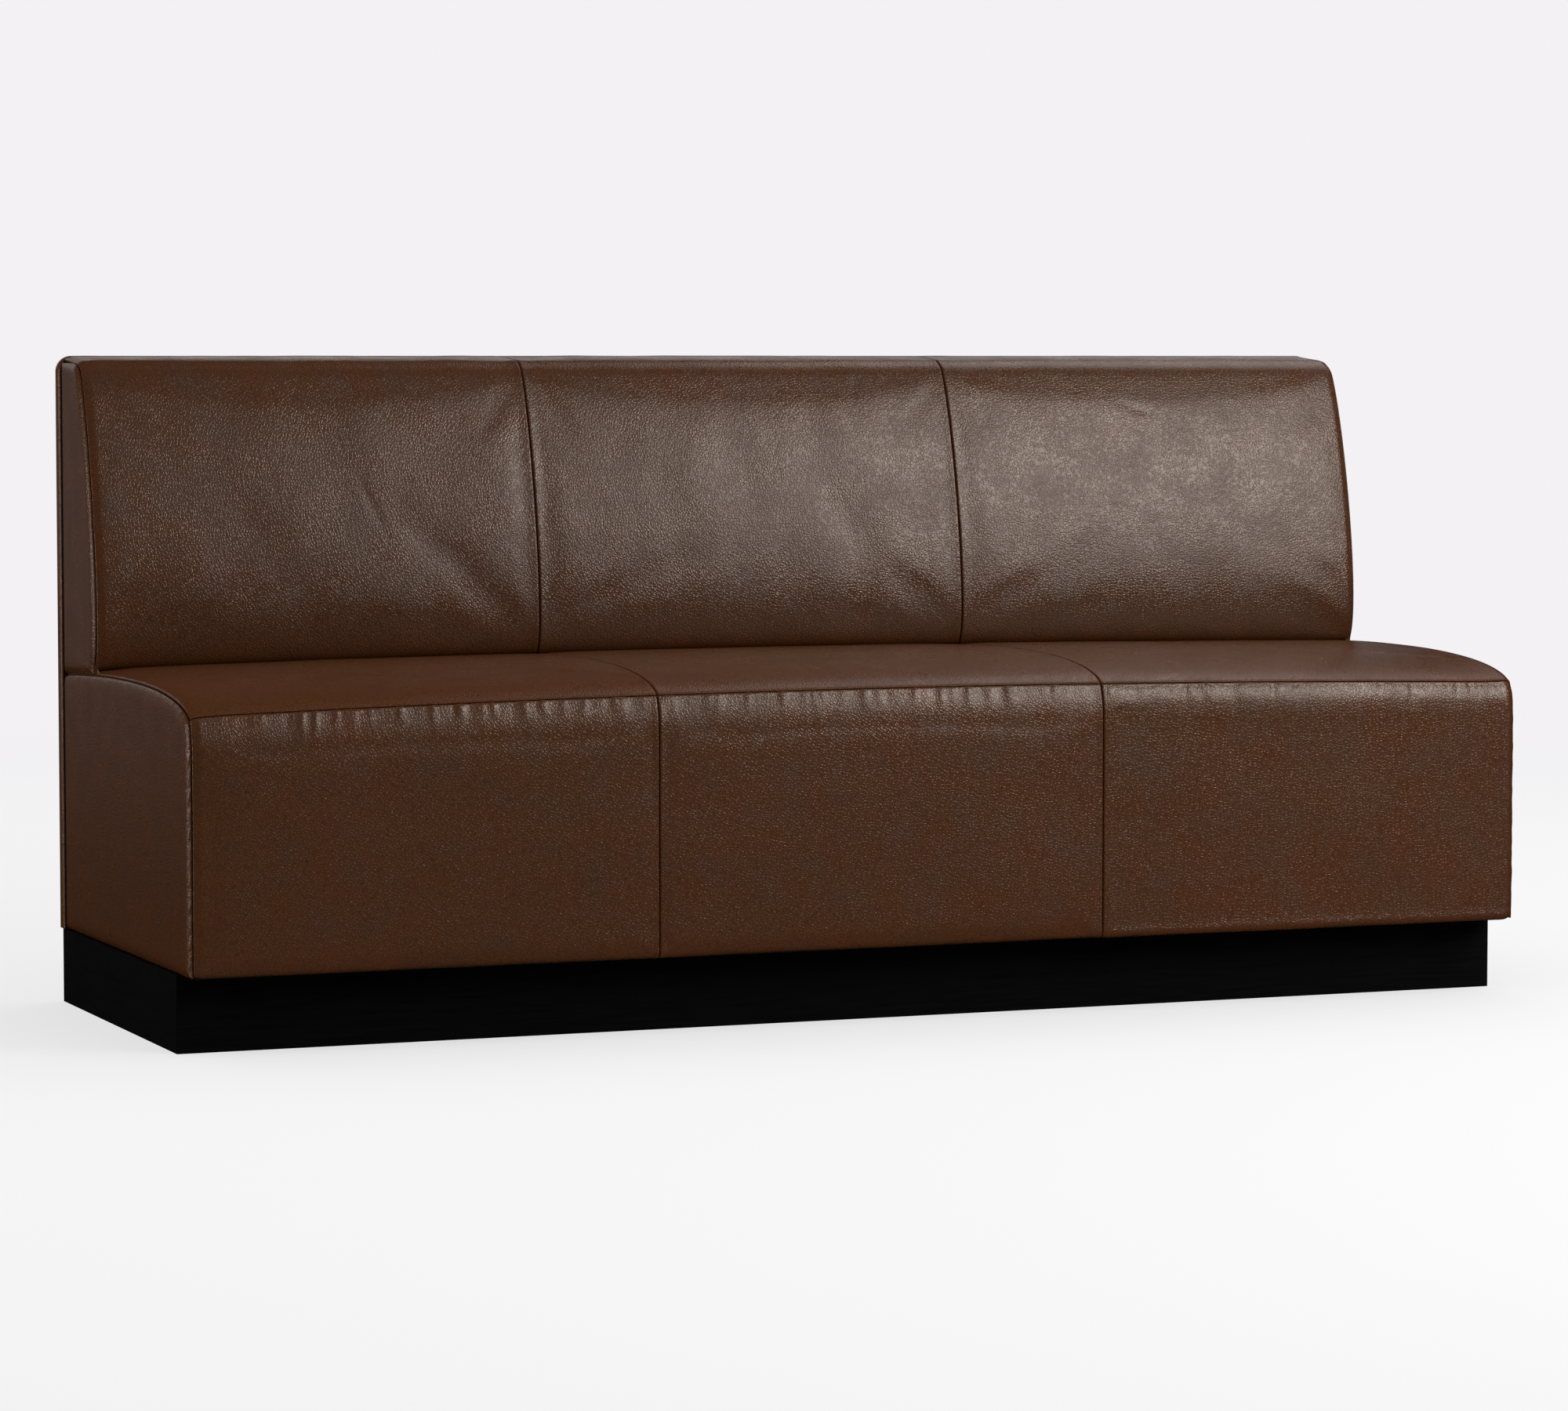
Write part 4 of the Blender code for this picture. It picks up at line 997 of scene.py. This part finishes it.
addNode(tree, "ShaderNodeOutputWorld", {"Surface": both.outputs[0]})


def stagePiece(bm, name, material):
    piece = finishedMesh(bm, name)
    piece.data.materials.append(material)
    piece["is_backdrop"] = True
    return piece


# matt pale floor: it takes the sofa's shadow, and fades into the backdrop far from it
floorPaint = {
    "paint": "#CECECE", "glow": "#FEFDFE", "share": 0.62, "fadeFrom": 2.0, "fadeTo": 6.0, "radius": 6.5,
}
material, tree, shader = newMaterial("pale_studio_floor")
tree.nodes.remove(shader)
paint = addNode(tree, "ShaderNodeBsdfDiffuse", {"Color": linear(floorPaint["paint"])})
glow = addNode(tree, "ShaderNodeEmission", {"Color": linear(floorPaint["glow"]), "Strength": 1.0})
share = addNode(tree, "ShaderNodeMath", {0: shownRays(tree), 1: floorPaint["share"]}, operation="MULTIPLY")
lit = addNode(tree, "ShaderNodeMixShader", {0: share.outputs[0], 1: paint.outputs[0], 2: glow.outputs[0]})
spot = addNode(tree, "ShaderNodeTexCoord").outputs["Object"]
away = addNode(tree, "ShaderNodeVectorMath", {0: spot}, operation="LENGTH")
fade = addNode(tree, "ShaderNodeMapRange", {
    "Value": away.outputs["Value"], "From Min": floorPaint["fadeFrom"], "From Max": floorPaint["fadeTo"]},
    interpolation_type="SMOOTHSTEP")
gone = addNode(tree, "ShaderNodeBsdfTransparent")
whole = addNode(tree, "ShaderNodeMixShader", {
    0: fade.outputs["Result"], 1: lit.outputs[0], 2: gone.outputs[0]})
tree.links.new(whole.outputs[0], tree.nodes["Material Output"].inputs["Surface"])
bm = bmesh.new()
bmesh.ops.create_circle(bm, cap_ends=True, segments=64, radius=floorPaint["radius"])
stagePiece(bm, "floor", material)

# black cloth hung round the set, seen only in reflections: the white room doesn't bleach the leather
tentShape = {"radius": 7, "above": 0.0006}
material, tree, shader = newMaterial("black_velvet")
shader.inputs["Base Color"].default_value = linear("#000000")
shader.inputs["Specular IOR Level"].default_value = 0.0
shader.inputs["Roughness"].default_value = 1.0
bm = bmesh.new()
bmesh.ops.create_uvsphere(bm, u_segments=32, v_segments=16, radius=tentShape["radius"])
for vert in bm.verts:
    vert.co.z = max(vert.co.z, tentShape["above"])
tent = stagePiece(bm, "black_tent", material)
for ray in ("camera", "diffuse", "transmission", "volume_scatter", "shadow"):
    setattr(tent, "visible_" + ray, False)
print("stage set")

lens = {"focal": 118.32, "place": (-2.5276, -6.2311, 0.8372), "yaw": 22.003, "pitch": 3.875}
data = bpy.data.cameras.new("camera")
data.lens = lens["focal"]
data.sensor_width = 36.0
data.clip_end = 100
camera = bpy.data.objects.new("camera", data)
camera.location = lens["place"]
camera.rotation_euler = (math.radians(90 - lens["pitch"]), 0, math.radians(-lens["yaw"]))
scene.collection.objects.link(camera)
scene.camera = camera

scene.view_settings.view_transform = "Standard"
low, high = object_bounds()
